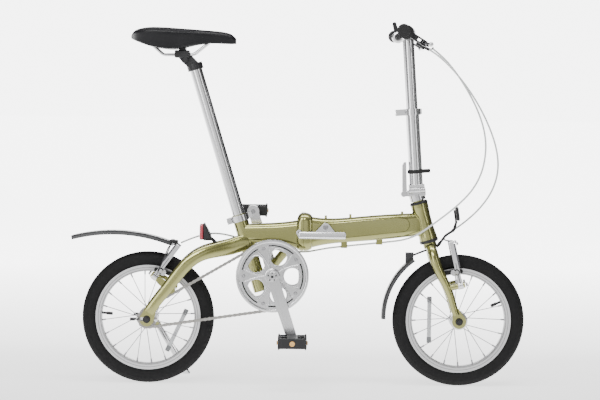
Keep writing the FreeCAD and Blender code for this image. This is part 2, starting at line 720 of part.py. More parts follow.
def cam_lever(reach, length):
    """Lever with two cheeks on the cam pin, curving forward round the clamp."""
    x = -reach + 6
    outer = [(x, QR_Y + 7), (x + 14, QR_Y + 12), (x + length, QR_Y + 16),
             (x + length, QR_Y + 10), (x + 16, QR_Y + 8), (x + 8, QR_Y + 5)]
    wire = Part.makePolygon([V(px, py, -7) for px, py in outer + outer[:1]])
    handle = Part.Face(wire).extrude(V(0, 0, 14))
    cheeks = Part.makeCylinder(7.0, 14.0, V(x, QR_Y, -7))
    lever = handle.fuse(cheeks)
    lever = lever.cut(Part.makeCylinder(8.0, 6.0, V(x, QR_Y, -3)))
    lever = lever.cut(block(x - 9, x + 5.5, QR_Y - 9, QR_Y + 8, -3, 3))
    return lever.cut(Part.makeCylinder(2.5 + RUN_GAP, 20, V(x, QR_Y, -10))).removeSplitter()


SEAT_COLLAR_Z = 420.5
SEAT_REACH = 33.0
POST_CLAMP_Z = 694.0
POST_REACH = 42.0


def seat_collar():
    pieces = [clamp(23.0, SEAT_TUBE_R, SEAT_REACH, 16.0), skewer(SEAT_REACH)]
    at = seat_at(SEAT_COLLAR_Z)
    return [tilt(piece, at.x, at.z, SEAT_ANGLE) for piece in pieces]


def seat_lever():
    at = seat_at(SEAT_COLLAR_Z)
    return tilt(cam_lever(SEAT_REACH, 58.0), at.x, at.z, SEAT_ANGLE)


# ---------------------------------------------------------------- front frame
HEAD_LEN = 92.9


def head_envelope():
    shape = turned([(0, 0), (23, 0), (23, 8), (20.4, 45, "arc"), (22.2, HEAD_LEN - 8),
                    (22.2, HEAD_LEN), (0, HEAD_LEN)])
    return tilt(shape, steer_at(STEER_FOOT_Z).x, STEER_FOOT_Z, STEER_ANGLE)


def head_tube():
    low, high = steer_at(STEER_FOOT_Z - 5), steer_at(STEER_Z0 + 5)
    return head_envelope().cut(rod(low, high, 17.0))


def headset():
    """Top and bottom cups with their bearings, bored for the steerer."""
    bore = STEERER_R + RUN_GAP
    low = turned([(bore, -8), (22.5, -8), (24, -5), (24, 0), (17, 0), (17, 12), (bore, 12)])
    top = HEAD_LEN
    high = turned([(bore, top - 12), (17, top - 12), (17, top), (22.8, top), (22.8, top + 4),
                   (20.5, top + 7), (bore, top + 7)])
    foot = steer_at(STEER_FOOT_Z)
    return [tilt(cup, foot.x, foot.z, STEER_ANGLE) for cup in (low, high)]


def under_beam(x):
    """Height at which the rear brake cable runs under the front beam."""
    return 350.2 + 0.1066 * (x - 100)


def front_beam():
    """Main beam with a shallow round-ended panel in each side and cable guides below."""
    beam = box_loft(FRONT_BEAM_STATIONS)
    for y0, y1 in ((21.2, 30), (-30, -21.2)):
        beam = beam.cut(bar_plate(88, 390.5, 19, 262, 409.5, 18, y0, y1))
    for x in (116, 205):
        guide = block(x - 8, x + 8, -4.5, 4.5, under_beam(x) - 4.5, under_beam(x) + 12)
        beam = beam.fuse(guide)
        beam = beam.cut(rod(V(x - 20, 0, under_beam(x - 20)), V(x + 20, 0, under_beam(x + 20)), 3.2))
    for x, z in ((69, 430), (131, 434), (262, 442)):
        beam = beam.fuse(Part.makeCylinder(3.2, 11, V(x, 0, z - 11)))
    beam = beam.cut(head_envelope()).removeSplitter()
    return max(beam.Solids, key=lambda piece: piece.Volume)


LATCH_X = 68.5
LATCH_Z = 402.0
LATCH_PIN_R = 4.0


def latch_stud():
    """Fixed stud on the beam's right side that the frame latch turns on."""
    stud = disc(LATCH_X, LATCH_Z, 9.0, -20, -26.5)
    stud = fuse([stud, disc(LATCH_X, LATCH_Z, LATCH_PIN_R, -26, -38),
                 disc(LATCH_X, LATCH_Z, 8.0, -38, -42)])
    return stud.cut(FRONT_BEAM)


def main_latch():
    """Frame latch: an eye and plate on the stud, a long handle, a hook at the rear."""
    eye = bar_plate(LATCH_X, LATCH_Z, 13.0, LATCH_X - 8, 386, 10.0, -30.5, -37.6)
    handle = bar_plate(17.0, 382.7, 8.0, 112.0, 382.7, 7.0, -30.5, -40)
    hook = washer(3.5, 388.0, 9.0, 5.4, -33.0, -40)
    hook = hook.cut(block(-8, 3.5, -45, -30, 370, 384))
    link = block(8.0, 20.0, -40, -33.0, 377.0, 389.0).cut(disc(3.5, 388, 5.4, -50, -20))
    latch = fuse([eye, handle, hook, link])
    latch = latch.cut(block(-10, 37, -33.0, -25, 360, 450))
    return latch.cut(disc(LATCH_X, LATCH_Z, LATCH_PIN_R + RUN_GAP, -50, -20))


# ---------------------------------------------------------------- fork
LEG_STATIONS = [(335, 14, 352, 12.5), (339.5, 29, 339, 13), (349.5, 37.5, 307, 12.8),
                (363, 39.3, 279, 11.5), (376.5, 40, 253, 10.2), (393.6, 40, 203, 9.2),
                (400, 40, 184, 9.0)]
BASE_Z = 497.0                  # the handlepost hinge's split plane on the post's axis


def leg_tube(side, stations, inset=0.0):
    sections = []
    for n, (x, y, z, radius) in enumerate(stations):
        before = stations[max(n - 1, 0)]
        after = stations[min(n + 1, len(stations) - 1)]
        along = V(after[0] - before[0], side * (after[1] - before[1]), after[2] - before[2])
        circle = Part.makeCircle(radius - inset, V(x, side * y, z), along)
        sections.append(Part.Wire(circle))
    return loft(sections)


def leg(side):
    inner = side * FRONT_HALF_OLD
    drop = bar_plate(FRONT_AXLE_X, AXLE_Z, 18.0, 399, 192, 10.0, inner, inner + side * 5)
    boss_at = V(FRONT_BOSS.x, side * FRONT_BOSS.y, FRONT_BOSS.z)
    tube = leg_tube(side, LEG_STATIONS)
    return fuse([tube, drop, boss(boss_at, FRONT_BRAKE_LEAN, 1, 22.0)])


def fork():
    crown = rod(V(334.5, -16, 351.5), V(334.5, 16, 351.5), 12.6)
    race = rod(steer_at(352), steer_at(STEER_FOOT_Z).sub(lean(STEER_ANGLE) * 8.4), 17.0)
    steerer = rod(steer_at(352), steer_at(486), STEERER_R)
    made = fuse([crown, race, steerer, leg(1), leg(-1)])
    made = made.cut(disc(FRONT_AXLE_X, AXLE_Z, AXLE_R, -60, 60))
    made = made.cut(rod(steer_at(352), steer_at(486), STEERER_R - 2.6))
    made = made.cut(rod(V(334.5, -14, 351.5), V(334.5, 14, 351.5), 10.0))
    for side in (-1, 1):
        made = made.cut(leg_tube(side, LEG_STATIONS[:-1], 2.2))
    return made


HINGE_PIN_Y = -27.0
HINGE_PIN_R = 3.5


def hinge_rod(radius, x0, x1):
    return Part.makeCylinder(radius, x1 - x0, V(x0, HINGE_PIN_Y, 0), V(1, 0, 0))


def handlepost_base():
    """Clamp on the steerer with the lower half of the post's hinge, its pin and ears."""
    table = soft_block(-24, 22, -19.5, 20, -15, -0.3, 2.0)
    for x0, x1 in ((-20, -8), (8, 20)):
        table = table.fuse(block(x0, x1, HINGE_PIN_Y, -18, -7, -0.3))
        table = table.fuse(hinge_rod(7.0, x0, x1))
    table = table.cut(hinge_rod(7.6, -8, 8)).cut(hinge_rod(HINGE_PIN_R, -40, 40))
    tongue = bar_plate(-20, -9, 6.0, -33, -9, 6.0, -5, 5)
    table = table.fuse(tongue).cut(disc(-33, -9, 3.0, -20, 20))
    at = post_at(BASE_Z)
    table = tilt(table, at.x, at.z, POST_ANGLE)
    collar = rod(steer_at(470.5), steer_at(486), 20.0)
    gap = rod(steer_at(460), steer_at(486), STEERER_R)
    base = table.fuse(collar).cut(gap).removeSplitter()
    pins = [tilt(hinge_rod(HINGE_PIN_R, -21, 21), at.x, at.z, POST_ANGLE),
            tilt(disc(-33, -9, 3.0, -10, 10), at.x, at.z, POST_ANGLE)]
    return [base] + pins


def handlepost_latch():
    """Latch behind the post: two cheeks on the pin and a tall curved lever."""
    lever = block(-36, -24.5, -9, 9, -9, 12)
    lever = lever.fuse(plate([(-36, 8), (-33, 64), (-28, 72), (-22.5, 72), (-23.5, 40),
                              (-24.5, 8)], -9, 9))
    lever = lever.fuse(disc(-33, -9, 7.0, -9, 9))
    lever = lever.cut(block(-50, -20, -5.4, 5.4, -20, 2))
    lever = lever.cut(block(-26.3, -10, -20, 20, -20, -2))
    lever = lever.cut(disc(-33, -9, 3.0 + RUN_GAP, -20, 20)).removeSplitter()
    at = post_at(BASE_Z)
    return tilt(lever, at.x, at.z, POST_ANGLE)


def front_axle():
    return axle(FRONT_AXLE_X, FRONT_HALF_OLD, 5.0, 9.5)


# ---------------------------------------------------------------- handlepost and bars
def handlepost_lower():
    """Lower post with the upper half of its hinge, and the clamp at its top."""
    at = post_at(BASE_Z)
    foot = soft_block(-20, 20, -19, 19.5, 0.3, 15, 2.0)
    foot = foot.fuse(block(-7.5, 7.5, HINGE_PIN_Y, -17, 0.3, 7)).fuse(hinge_rod(7.0, -7.5, 7.5))
    for x0, x1 in ((-30, -7.6), (7.6, 30)):
        foot = foot.cut(hinge_rod(7.4, x0, x1))
    foot = foot.cut(hinge_rod(HINGE_PIN_R + RUN_GAP, -30, 30))
    foot = tilt(foot, at.x, at.z, POST_ANGLE)
    tube = rod(post_at(BASE_Z + 14), post_at(702), LOWER_POST_R)
    bore = rod(post_at(BASE_Z + 18), post_at(720), UPPER_POST_R + RUN_GAP)
    top = post_at(POST_CLAMP_Z)
    ring = tilt(clamp(21.0, LOWER_POST_R, POST_REACH, 16.0), top.x, top.z, POST_ANGLE)
    bolt = tilt(skewer(POST_REACH), top.x, top.z, POST_ANGLE)
    return [foot.fuse(tube).cut(bore).removeSplitter(), ring, bolt]


def telescope_lever():
    top = post_at(POST_CLAMP_Z)
    return tilt(cam_lever(POST_REACH, 62.0), top.x, top.z, POST_ANGLE)


BAR_X = post_at(BAR_Z).x
BAR_R = 11.1
BAR_END = V(BAR_X - BAR_SWEEP, BAR_HALF, BAR_Z)
BAR_BEND = V(BAR_X, 45.0, BAR_Z)


def on_bar(y):
    """Point on the swept part of the bar at a given y."""
    side = 1 if y > 0 else -1
    share = (abs(y) - BAR_BEND.y) / (BAR_HALF - BAR_BEND.y)
    return V(BAR_X - BAR_SWEEP * share, side * abs(y), BAR_Z)


def handlepost_upper():
    post = pipe(post_at(602), post_at(BAR_Z), UPPER_POST_R, UPPER_POST_R - TUBE_WALL)
    barrel = disc(BAR_X, BAR_Z, 18.0, -21, 21)
    return post.fuse(barrel).cut(disc(BAR_X, BAR_Z, 12.7, -40, 40)).removeSplitter()


def handlebar():
    points = [on_bar(-248), V(BAR_X, -45, BAR_Z), V(BAR_X, 45, BAR_Z), on_bar(248)]
    bar = bent_rod(points, BAR_R, [60, 60]).fuse(disc(BAR_X, BAR_Z, 12.7, -30, 30))
    return bar.cut(bent_rod(points, BAR_R - TUBE_WALL, [60, 60])).removeSplitter()


def grips():
    made = []
    for side in (-1, 1):
        inner, outer = on_bar(side * 128), on_bar(side * 250)
        solid = rod(inner, outer, 16.0).fuse(rod(inner, on_bar(side * 132), 17.5))
        made.append(solid.cut(rod(on_bar(side * 120), on_bar(side * 248), BAR_R)))
    return made


LEVER_DROP = 32.0               # the brake levers point this far below level
LEVER_Y = 104.0                 # middle of a lever's clamp
LEVER_PIVOT = 46.0              # pivot's distance from the bar


def from_lever_plane(solid, side):
    """Place a solid drawn in the lever plane: X out from the bar, Y along it, Z square."""
    at = on_bar(side * LEVER_Y)
    placed = solid if side > 0 else mirrored(solid)
    placed = placed.copy()
    placed.rotate(V(0, 0, 0), V(0, 1, 0), LEVER_DROP)
    placed.translate(V(at.x, 0, at.z))
    return placed


def flat(points, z0, z1):
    corners = [V(x, y, z0) for x, y in points]
    return Part.Face(Part.makePolygon(corners + corners[:1])).extrude(V(0, 0, z1 - z0))


def lever_mount():
    """Clamp, body, pivot pin and cable adjuster of the left brake lever."""
    body = flat([(8, 95), (34, 92), (56, 96), (54, 112), (34, 114), (8, 112)], -7, 7)
    body = body.cut(block(30, 70, 60, 130, -3.4, 3.4))
    pin = Part.makeCylinder(2.5, 14, V(LEVER_PIVOT, LEVER_Y, -7))
    adjuster = rod(V(40, 93, 0), V(60, 70, 0), 4.5).fuse(rod(V(54, 77, 0), V(61, 69, 0), 5.5))
    adjuster = adjuster.cut(block(30, 49, 88, 130, -3.4, 3.4))
    return fuse([body, pin, adjuster])


def clamp_band(y):
    solid = rod(V(0, y - 9, 0), V(0, y + 9, 0), 15.0)
    return solid


def brake_blade():
    """Left brake lever: eye on the pin, finger blade along the grip, ball end."""
    eye = Part.makeCylinder(6.5, 6, V(LEVER_PIVOT, LEVER_Y, -3))
    root = flat([(LEVER_PIVOT, LEVER_Y - 6), (58, 112), (64, 126), (58, 128), (44, 110)], -3, 3)
    blade = flat([(55, 116), (63, 121), (68, 140), (69, 175), (64, 212), (58, 212), (62, 174),
                  (61, 142), (56, 128)], -5, 5)
    ball = Part.makeSphere(6.0, V(60.5, 216, 0))
    lever = fuse([eye, root, blade, ball])
    return lever.cut(Part.makeCylinder(2.5 + RUN_GAP, 20, V(LEVER_PIVOT, LEVER_Y, -10)))


BELL = V(241.5, -86.0, 879.0)
BELL_PIN_R = 2.5


def bar_fittings():
    """Both brake lever mounts, and the bell's clamp, base and dome."""
    made = []
    for side in (-1, 1):
        mount = from_lever_plane(lever_mount().fuse(clamp_band(LEVER_Y)), side)
        made.append(mount.cut(rod(on_bar(side * 60), on_bar(side * 140), BAR_R)).removeSplitter())
    band = rod(on_bar(-66), on_bar(-78), 14.5)
    arm = bar_plate(on_bar(-72).x, BAR_Z, 8.0, BELL.x, BELL.z, 8.0, -70, -76)
    pin = disc(BELL.x, BELL.z, BELL_PIN_R, -70, -84)
    mount = fuse([band, arm, pin]).cut(rod(on_bar(-60), on_bar(-90), BAR_R)).removeSplitter()
    shell = disc(BELL.x, BELL.z, 15.0, -84, -92)
    edges = [edge for edge in shell.Edges if abs(edge.CenterOfMass.y + 92) < 0.01]
    made += [mount, shell.makeFillet(6.5, edges)]
    return made


def bell_lever():
    arm = bar_plate(BELL.x, BELL.z, 6.0, BELL.x - 9, BELL.z + 33, 5.0, -77, -82.5)
    return arm.cut(disc(BELL.x, BELL.z, BELL_PIN_R + RUN_GAP, -60, -90))


# ---------------------------------------------------------------- saddle
SADDLE_SECTIONS = [(-425.6, 26, 868, 886), (-412, 60, 861, 895), (-382, 76, 850, 901.5),
                   (-340, 77, 846, 901), (-300, 62, 850, 898), (-260, 38, 856, 895),
                   (-215, 24, 860, 892), (-180, 20, 861, 888), (-162, 13, 862, 877)]
SEATPOST_FOOT_Z = 348.0
SEATPOST_TOP_Z = 803.0
RAIL_R = 3.5


def saddle():
    """Saddle with the hollow between its two rails open below."""
    wires = [rounded_wire(x, half, low, high, min(half, (high - low) / 2) * 0.9)
             for x, half, low, high in SADDLE_SECTIONS]
    hollow = [rounded_wire(x, half - 9, low - 30, high - 14, (high - low) * 0.5)
              for x, half, low, high in SADDLE_SECTIONS[3:6]]
    return loft(wires).cut(loft(hollow))


def saddle_mount():
    """Two rails under the saddle, and the clamp that grips them on the post."""
    made = []
    for side in (-1, 1):
        points = [V(-372, side * 30, 855), V(-345, side * 22, 831), V(-268, side * 22, 832.5),
                  V(-227, side * 12, 865)]
        made.append(bent_rod(points, RAIL_R, [16, 22]))
    cradle = soft_block(-316, -279, -27, 27, 824, 843, 3.0)
    cradle = cradle.fuse(soft_block(-306, -288, -20, 20, 840, 851, 2.0))
    web = plate([(-314, 834), (-282, 838), (-258, 813), (-258, 802), (-284, 802), (-297, 813)],
                -17, 17)
    neck = rod(seat_at(794), seat_at(810), 20.0)
    bolt = disc(-289, 819, 4.0, -22, 22).fuse(disc(-289, 819, 6.5, -22, -26))
    body = fuse([cradle, web, neck]).cut(bolt)
    body = body.cut(rod(seat_at(780), seat_at(SEATPOST_TOP_Z), SEATPOST_R))
    for rail in made:
        body = body.cut(rail)
    return made + [body.removeSplitter(), bolt]


def seatpost():
    return pipe(seat_at(SEATPOST_FOOT_Z), seat_at(SEATPOST_TOP_Z), SEATPOST_R, SEATPOST_R - 2.2)


# ---------------------------------------------------------------- brakes
ARM_LEN = {1: 112.0, -1: 97.0}      # by way: 1 is the front brake, -1 the rear
PAD_UP = {1: 35.0, -1: 20.5}        # the pads' height above the arms' pivots
PAD_TURN = {1: -5.8, -1: 21.0}      # turns each pad along its rim


def brake_arm(side, way):
    """Brake arm drawn upright on its pivot; side is its Y sign."""
    y = side * 40.0
    top, up = ARM_LEN[way], PAD_UP[way]
    x0, x1 = sorted((way * 0.3, way * 13.5))
    pivot = Part.makeCylinder(9.5, x1 - x0, V(x0, y, 0), V(1, 0, 0))
    mid = way * -3.0
    flank = [V(x0 + 1, y - side * 9, 0), V(x0 + 1, y + side * 6, 0),
             V(x0 + 1, y - side * 2, 60), V(x0 + 1, y - side * 9, top),
             V(x0 + 1, y - side * 16, top), V(x0 + 1, y - side * 11, 60)]
    bar = Part.Face(Part.makePolygon(flank + flank[:1])).extrude(V(x1 - x0 - 2, 0, 0))
    lug = Part.makeCylinder(8.0, 15.0, V(mid, y - side * 12, up), V(0, side, 0))
    lug = lug.fuse(soft_block(min(mid, x1 - 1), max(mid, x0 + 1), *sorted((y - side * 11, y + side * 2)),
                              up - 6, up + 6, 1.0))
    arm = fuse([pivot, bar, lug])
    arm = arm.cut(Part.makeCylinder(BOSS_PIN_R + RUN_GAP, 40, V(-20, y, 0), V(1, 0, 0)))
    pad_y0, pad_y1 = sorted((side * 15.2, side * 23.0))
    pad = soft_block(mid - 24, mid + 24, pad_y0, pad_y1, up - 4.5, up + 4.5, 1.5)
    pad.rotate(V(mid, 0, up), V(0, 1, 0), -PAD_TURN[way])
    post = Part.makeCylinder(3.0, 24.5, V(mid, side * 23.0, up), V(0, side, 0))
    nut = Part.makeCylinder(5.5, 4.0, V(mid, side * 43.2, up), V(0, side, 0))
    arm = arm.cut(post).cut(nut)
    return [arm, pad, post.fuse(nut)]


def placed_arm(side, way):
    pivot, angle = (FRONT_BOSS, FRONT_BRAKE_LEAN) if way > 0 else (REAR_BOSS, REAR_BRAKE_LEAN)
    return [tilt(piece, pivot.x, pivot.z, angle) for piece in brake_arm(side, way)]


# ---------------------------------------------------------------- fenders and reflectors
def fender(arc, half_width):
    """Curved channel along three outline points; thin, with its edges turned down."""
    start, middle, end = [V(x, 0, z) for x, z in arc]
    circle = Part.Arc(start, middle, end).toShape().Curve
    centre = circle.Center
    radius = circle.Radius
    ends = []
    for point in (start, end):
        ends.append(math.degrees(math.atan2(point.z - centre.z, point.x - centre.x)))
    low, high = sorted(angle % 360 for angle in ends)
    half = half_width
    outline = [(radius, half - 7), (radius, -half + 7), (radius - 3, -half + 2),
               (radius - 10, -half), (radius - 10, -half + 1.8), (radius - 4.2, -half + 3.8),
               (radius - 1.8, -half + 8), (radius - 1.8, half - 8), (radius - 4.2, half - 3.8),
               (radius - 10, half - 1.8), (radius - 10, half), (radius - 3, half - 2)]
    points = [V(centre.x + r, y, centre.z) for r, y in outline]
    face = Part.Face(Part.makePolygon(points + points[:1]))
    face.rotate(centre, V(0, -1, 0), low)
    return face.revolve(centre, V(0, -1, 0), high - low)


REAR_FENDER_ARC = [(-574.5, 372.5), (-455, 386.5), (-322, 360.5)]
FRONT_FENDER_ARC = [(212.5, 169.0), (235, 262), (290, 325)]


def rear_brackets():
    """Fender clip and wires, reflector housing and its bracket on the seat tube side."""
    clip = block(-331, -306, -10, 10, 351, 363)
    clip = clip.cut(REAR_FENDER)
    clip = max(clip.Solids, key=lambda piece: piece.Volume)
    housing = soft_block(-243, -218, -22, 22, 366, 405, 3.0)
    housing = housing.cut(block(-246, -238, -19, 19, 369.5, 401.5))
    strap = rod(V(-222, 0, 372), V(-195, 0, 341), 4.0).cut(housing)
    pieces = [clip, housing, max(strap.Solids, key=lambda piece: piece.Volume)]
    for side in (-1, 1):
        pieces.append(bent_rod([V(-325, side * 7, 349), V(-328, side * 52, 345),
                                V(-352, side * 53, 285)], 1.6, [8]))
    return pieces


def rear_reflector():
    return soft_block(-244, -238.1, -18.8, 18.8, 369.7, 401.3, 1.2)


def front_reflector():
    """White reflector, its housing and the arm that holds it to the fork's crown."""
    pieces = []
    housing = soft_block(-3.5, 3.5, -20, 20, -18, 18, 2.5)
    housing = housing.cut(block(1.2, 9, -17.5, 17.5, -15.5, 15.5))
    lens = soft_block(1.3, 4.6, -17.3, 17.3, -15.3, 15.3, 0.8)
    for piece in (housing, lens):
        pieces.append(tilt(piece, 401.5, 438.0, 8.0))
    arm = bent_rod([V(351, 0, 352), V(374, 0, 383), V(393, 0, 395), V(400.5, 0, 418.5)],
                   3.2, [14, 12])
    pieces.append(arm.cut(pieces[0]).cut(FORK))
    return [max(piece.Solids, key=lambda part: part.Volume) for piece in pieces]


def front_fender():
    """Short fender behind the front wheel, its clip and the wire up to the crown."""
    body = fender(FRONT_FENDER_ARC, 22.0)
    clip = block(272, 292, -9, 9, 312, 338).cut(body)
    clip = clip.cut(body)
    clip = max(clip.Solids, key=lambda piece: piece.Volume)
    wire = rod(V(291, 0, 331), V(326, 0, 345), 2.6).cut(FORK)
    return [body, clip, max(wire.Solids, key=lambda piece: piece.Volume)]


# ---------------------------------------------------------------- kickstand
STAND_PIVOT = V(-361.0, 66.0, 141.0)
STAND_CLEARANCE = 5.0           # under the foot while the bicycle is held upright


def kickstand():
    """Leg on its pivot bolt beside the left drop-out, with a flat-bottomed foot."""
    eye = disc(STAND_PIVOT.x, STAND_PIVOT.z, 10.0, 62.4, 71)
    top = V(STAND_PIVOT.x, 68, STAND_PIVOT.z)
    foot = V(-291, 128, STAND_CLEARANCE + 4.5)
    shaft = rod(top, foot, 6.3)
    shoe = rod(foot.sub(foot.sub(top).normalize() * 16), foot.add(V(4, 3, -6)), 9.0)
    made = fuse([eye, shaft, shoe])
    made = made.cut(disc(STAND_PIVOT.x, STAND_PIVOT.z, 4.05, 50, 90))
    made = made.cut(disc(STAND_PIVOT.x, STAND_PIVOT.z, 7.5, 71.0, 90))
    return made.cut(block(-400, -200, 60, 200, -40, STAND_CLEARANCE)).removeSplitter()


def stand_bracket():
    """Bracket under the left drop-out that carries the stand's pivot bolt."""
    ear = bar_plate(STAND_PIVOT.x, STAND_PIVOT.z, 10.0, -372, 156, 10.0, 60.2, 62.0)
    ear = ear.cut(disc(REAR_AXLE_X, AXLE_Z, 9.8, 50, 80))
    bolt = disc(STAND_PIVOT.x, STAND_PIVOT.z, 4.0, 60.2, 74)
    return fuse([ear, bolt, disc(STAND_PIVOT.x, STAND_PIVOT.z, 7.0, 71.3, 75)])


# ---------------------------------------------------------------- brake cables
CABLE_R = 2.4
REAR_CABLE = [V(321, -70, 858), V(344, -52, 843), V(377, -38, 812), V(414, -30, 762),
              V(446, -28, 704), V(465, -30, 650), V(470, -32, 600), V(461, -34, 545),
              V(436, -36, 497), V(395, -37, 456), V(345, -37, 417), V(300, -32, 384),
              V(268, -16, 371), V(236, 0, 364.7), V(84, 0, 348.5), V(50, 9, 341),
              V(13, 24, 333), V(-40, 34, 338), V(-105, 38, 350),
              V(-165, 37, 372), V(-215, 32, 381), V(-262, 27, 371), V(-299.5, 27, 354)]
FRONT_CABLE = [V(321, 70, 858), V(346, 52, 843), V(384, 38, 808), V(424, 30, 760),
               V(460, 28, 704), V(487, 30, 648), V(504, 32, 596), V(508, 33, 545),
               V(494, 33, 495), V(463, 33, 450), V(425, 32, 415), V(392, 28, 392),
               V(377, 26, 383)]


def build():
    os.makedirs("parts", exist_ok=True)
    make_wheels()
    save("front_axle", *front_axle())
    save("rear_axle", *rear_axle())
    save("freewheel", freewheel())
    save("bottom_bracket", *bottom_bracket())
    save("spindles", *spindles())
    save("right_crank", crank(-1))
    save("left_crank", crank(1))
    save("chainring", *chainring())
    save("right_pedal", *pedal(-1))
    save("left_pedal", *pedal(1))
    save("chain", *chain())
    save("seat_tube", seat_tube())
    save("rear_beam", REAR_BEAM.cut(box_loft(REAR_BEAM_STATIONS, BEAM_WALL)))
    save("rear_hinge_half", *rear_hinge_half())
    hollow_stay = STAY.cut(stay_tube(STAY_STATIONS[:-1], TUBE_WALL))
    save("rear_stays", hollow_stay, mirrored(hollow_stay))
    save("frame_braces", strut(), *braces(), stand_bracket())
    save("seat_collar", *seat_collar())
    save("seat_lever", seat_lever())
    save("rear_fender", REAR_FENDER)
    save("rear_brackets", *rear_brackets())
    save("rear_reflector", rear_reflector())
    save("front_beam", FRONT_BEAM.cut(box_loft(FRONT_BEAM_STATIONS, BEAM_WALL)))
    save("front_hinge_half", front_hinge_half(), latch_stud())
    save("head_tube", head_tube())
    save("headset", *headset())
    save("main_latch", main_latch())
    save("fork", FORK)
    save("front_fender", *front_fender())
    save("front_reflector", *front_reflector())
    save("handlepost_base", *handlepost_base())
    save("handlepost_latch", handlepost_latch())
    save("handlepost_lower", *handlepost_lower())
    save("telescope_lever", telescope_lever())
    save("handlepost_upper", handlepost_upper())
    save("handlebar", handlebar())
    save("grips", *grips())
    save("bar_fittings", *bar_fittings())
    save("brake_lever_right", from_lever_plane(brake_blade(), -1))
    save("brake_lever_left", from_lever_plane(brake_blade(), 1))
    save("bell_lever", bell_lever())
    save("seatpost", seatpost())
    save("saddle", saddle())
    save("saddle_mount", *saddle_mount())
    save("front_brake_arm_left", *placed_arm(1, 1))
    save("front_brake_arm_right", *placed_arm(-1, 1))
    save("rear_brake_arm_left", *placed_arm(1, -1))
    save("rear_brake_arm_right", *placed_arm(-1, -1))
    save("kickstand", kickstand())
    save("rear_brake_cable", route(REAR_CABLE, CABLE_R))
    save("front_brake_cable", route(FRONT_CABLE, CABLE_R))


REAR_BEAM = rear_beam()
FRONT_BEAM = front_beam()
STAY = stay()
FORK = fork()
REAR_FENDER = fender(REAR_FENDER_ARC, 24.0)
build()
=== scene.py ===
"""Looks of the folding bicycle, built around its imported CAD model. Units are metres."""
import json
import math

import bmesh
import bpy
from mathutils import Matrix, Vector
from mathutils.bvhtree import BVHTree


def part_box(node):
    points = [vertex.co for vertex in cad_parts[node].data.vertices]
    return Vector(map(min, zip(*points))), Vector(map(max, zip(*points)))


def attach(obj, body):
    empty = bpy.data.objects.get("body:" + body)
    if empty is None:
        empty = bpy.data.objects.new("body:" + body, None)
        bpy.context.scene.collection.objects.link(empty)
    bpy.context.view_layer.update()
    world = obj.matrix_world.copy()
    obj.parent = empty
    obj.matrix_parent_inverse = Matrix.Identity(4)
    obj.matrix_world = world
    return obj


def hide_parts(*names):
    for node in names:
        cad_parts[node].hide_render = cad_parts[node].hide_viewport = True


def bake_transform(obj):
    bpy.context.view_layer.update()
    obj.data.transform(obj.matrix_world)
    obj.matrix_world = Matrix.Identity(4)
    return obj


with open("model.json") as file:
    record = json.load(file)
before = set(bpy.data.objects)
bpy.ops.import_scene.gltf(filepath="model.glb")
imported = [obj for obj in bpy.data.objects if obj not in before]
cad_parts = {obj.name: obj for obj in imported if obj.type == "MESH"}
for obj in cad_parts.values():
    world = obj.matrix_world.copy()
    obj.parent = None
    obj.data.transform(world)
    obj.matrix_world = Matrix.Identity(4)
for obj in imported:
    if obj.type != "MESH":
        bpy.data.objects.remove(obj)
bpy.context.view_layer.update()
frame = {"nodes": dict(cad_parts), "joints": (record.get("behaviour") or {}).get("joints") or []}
NODES = frame["nodes"]
JOINT = {joint["name"]: joint for joint in frame["joints"]}
MM = 0.001
# strength of the lit backdrop, and between which Y of a unit direction it fades in
BACKDROP = 6.0
BACKDROP_EDGE = (0.945, 0.978)
SIDES = ((-1, "right"), (1, "left"))
RING_TEETH = 42
COG_TEETH = 11


# ---- places taken from the frame
def joint_at(name):
    return Vector(JOINT[name]["pos_m"])


def joint_axis(name):
    return Vector(JOINT[name]["axis"]).normalized()


REAR_AXLE = joint_at("rear_wheel_spin")
FRONT_AXLE = joint_at("front_wheel_spin")
CRANK = joint_at("crank_spin")
COG = joint_at("freewheel_spin")
STEER = joint_at("steering")
STEER_UP = joint_axis("steering")
POST_UP = joint_axis("telescope_slide")


# ---- material building blocks
def map_range(tree, value, low, high, out_low, out_high, smooth=False):
    """Socket that goes from out_low to out_high while value goes from low to high."""
    node = tree.nodes.new("ShaderNodeMapRange")
    if smooth:
        node.interpolation_type = "SMOOTHSTEP"
    for socket, number in (("From Min", low), ("From Max", high),
                           ("To Min", out_low), ("To Max", out_high)):
        node.inputs[socket].default_value = number
    tree.links.new(value, node.inputs["Value"])
    return node.outputs["Result"]


def axis_of(tree, vector, axis):
    """The X, Y or Z of a vector socket."""
    node = tree.nodes.new("ShaderNodeSeparateXYZ")
    tree.links.new(vector, node.inputs["Vector"])
    return node.outputs[axis]


def combine(tree, operation, a, b):
    node = tree.nodes.new("ShaderNodeMath")
    node.operation = operation
    tree.links.new(a, node.inputs[0])
    tree.links.new(b, node.inputs[1])
    return node.outputs["Value"]


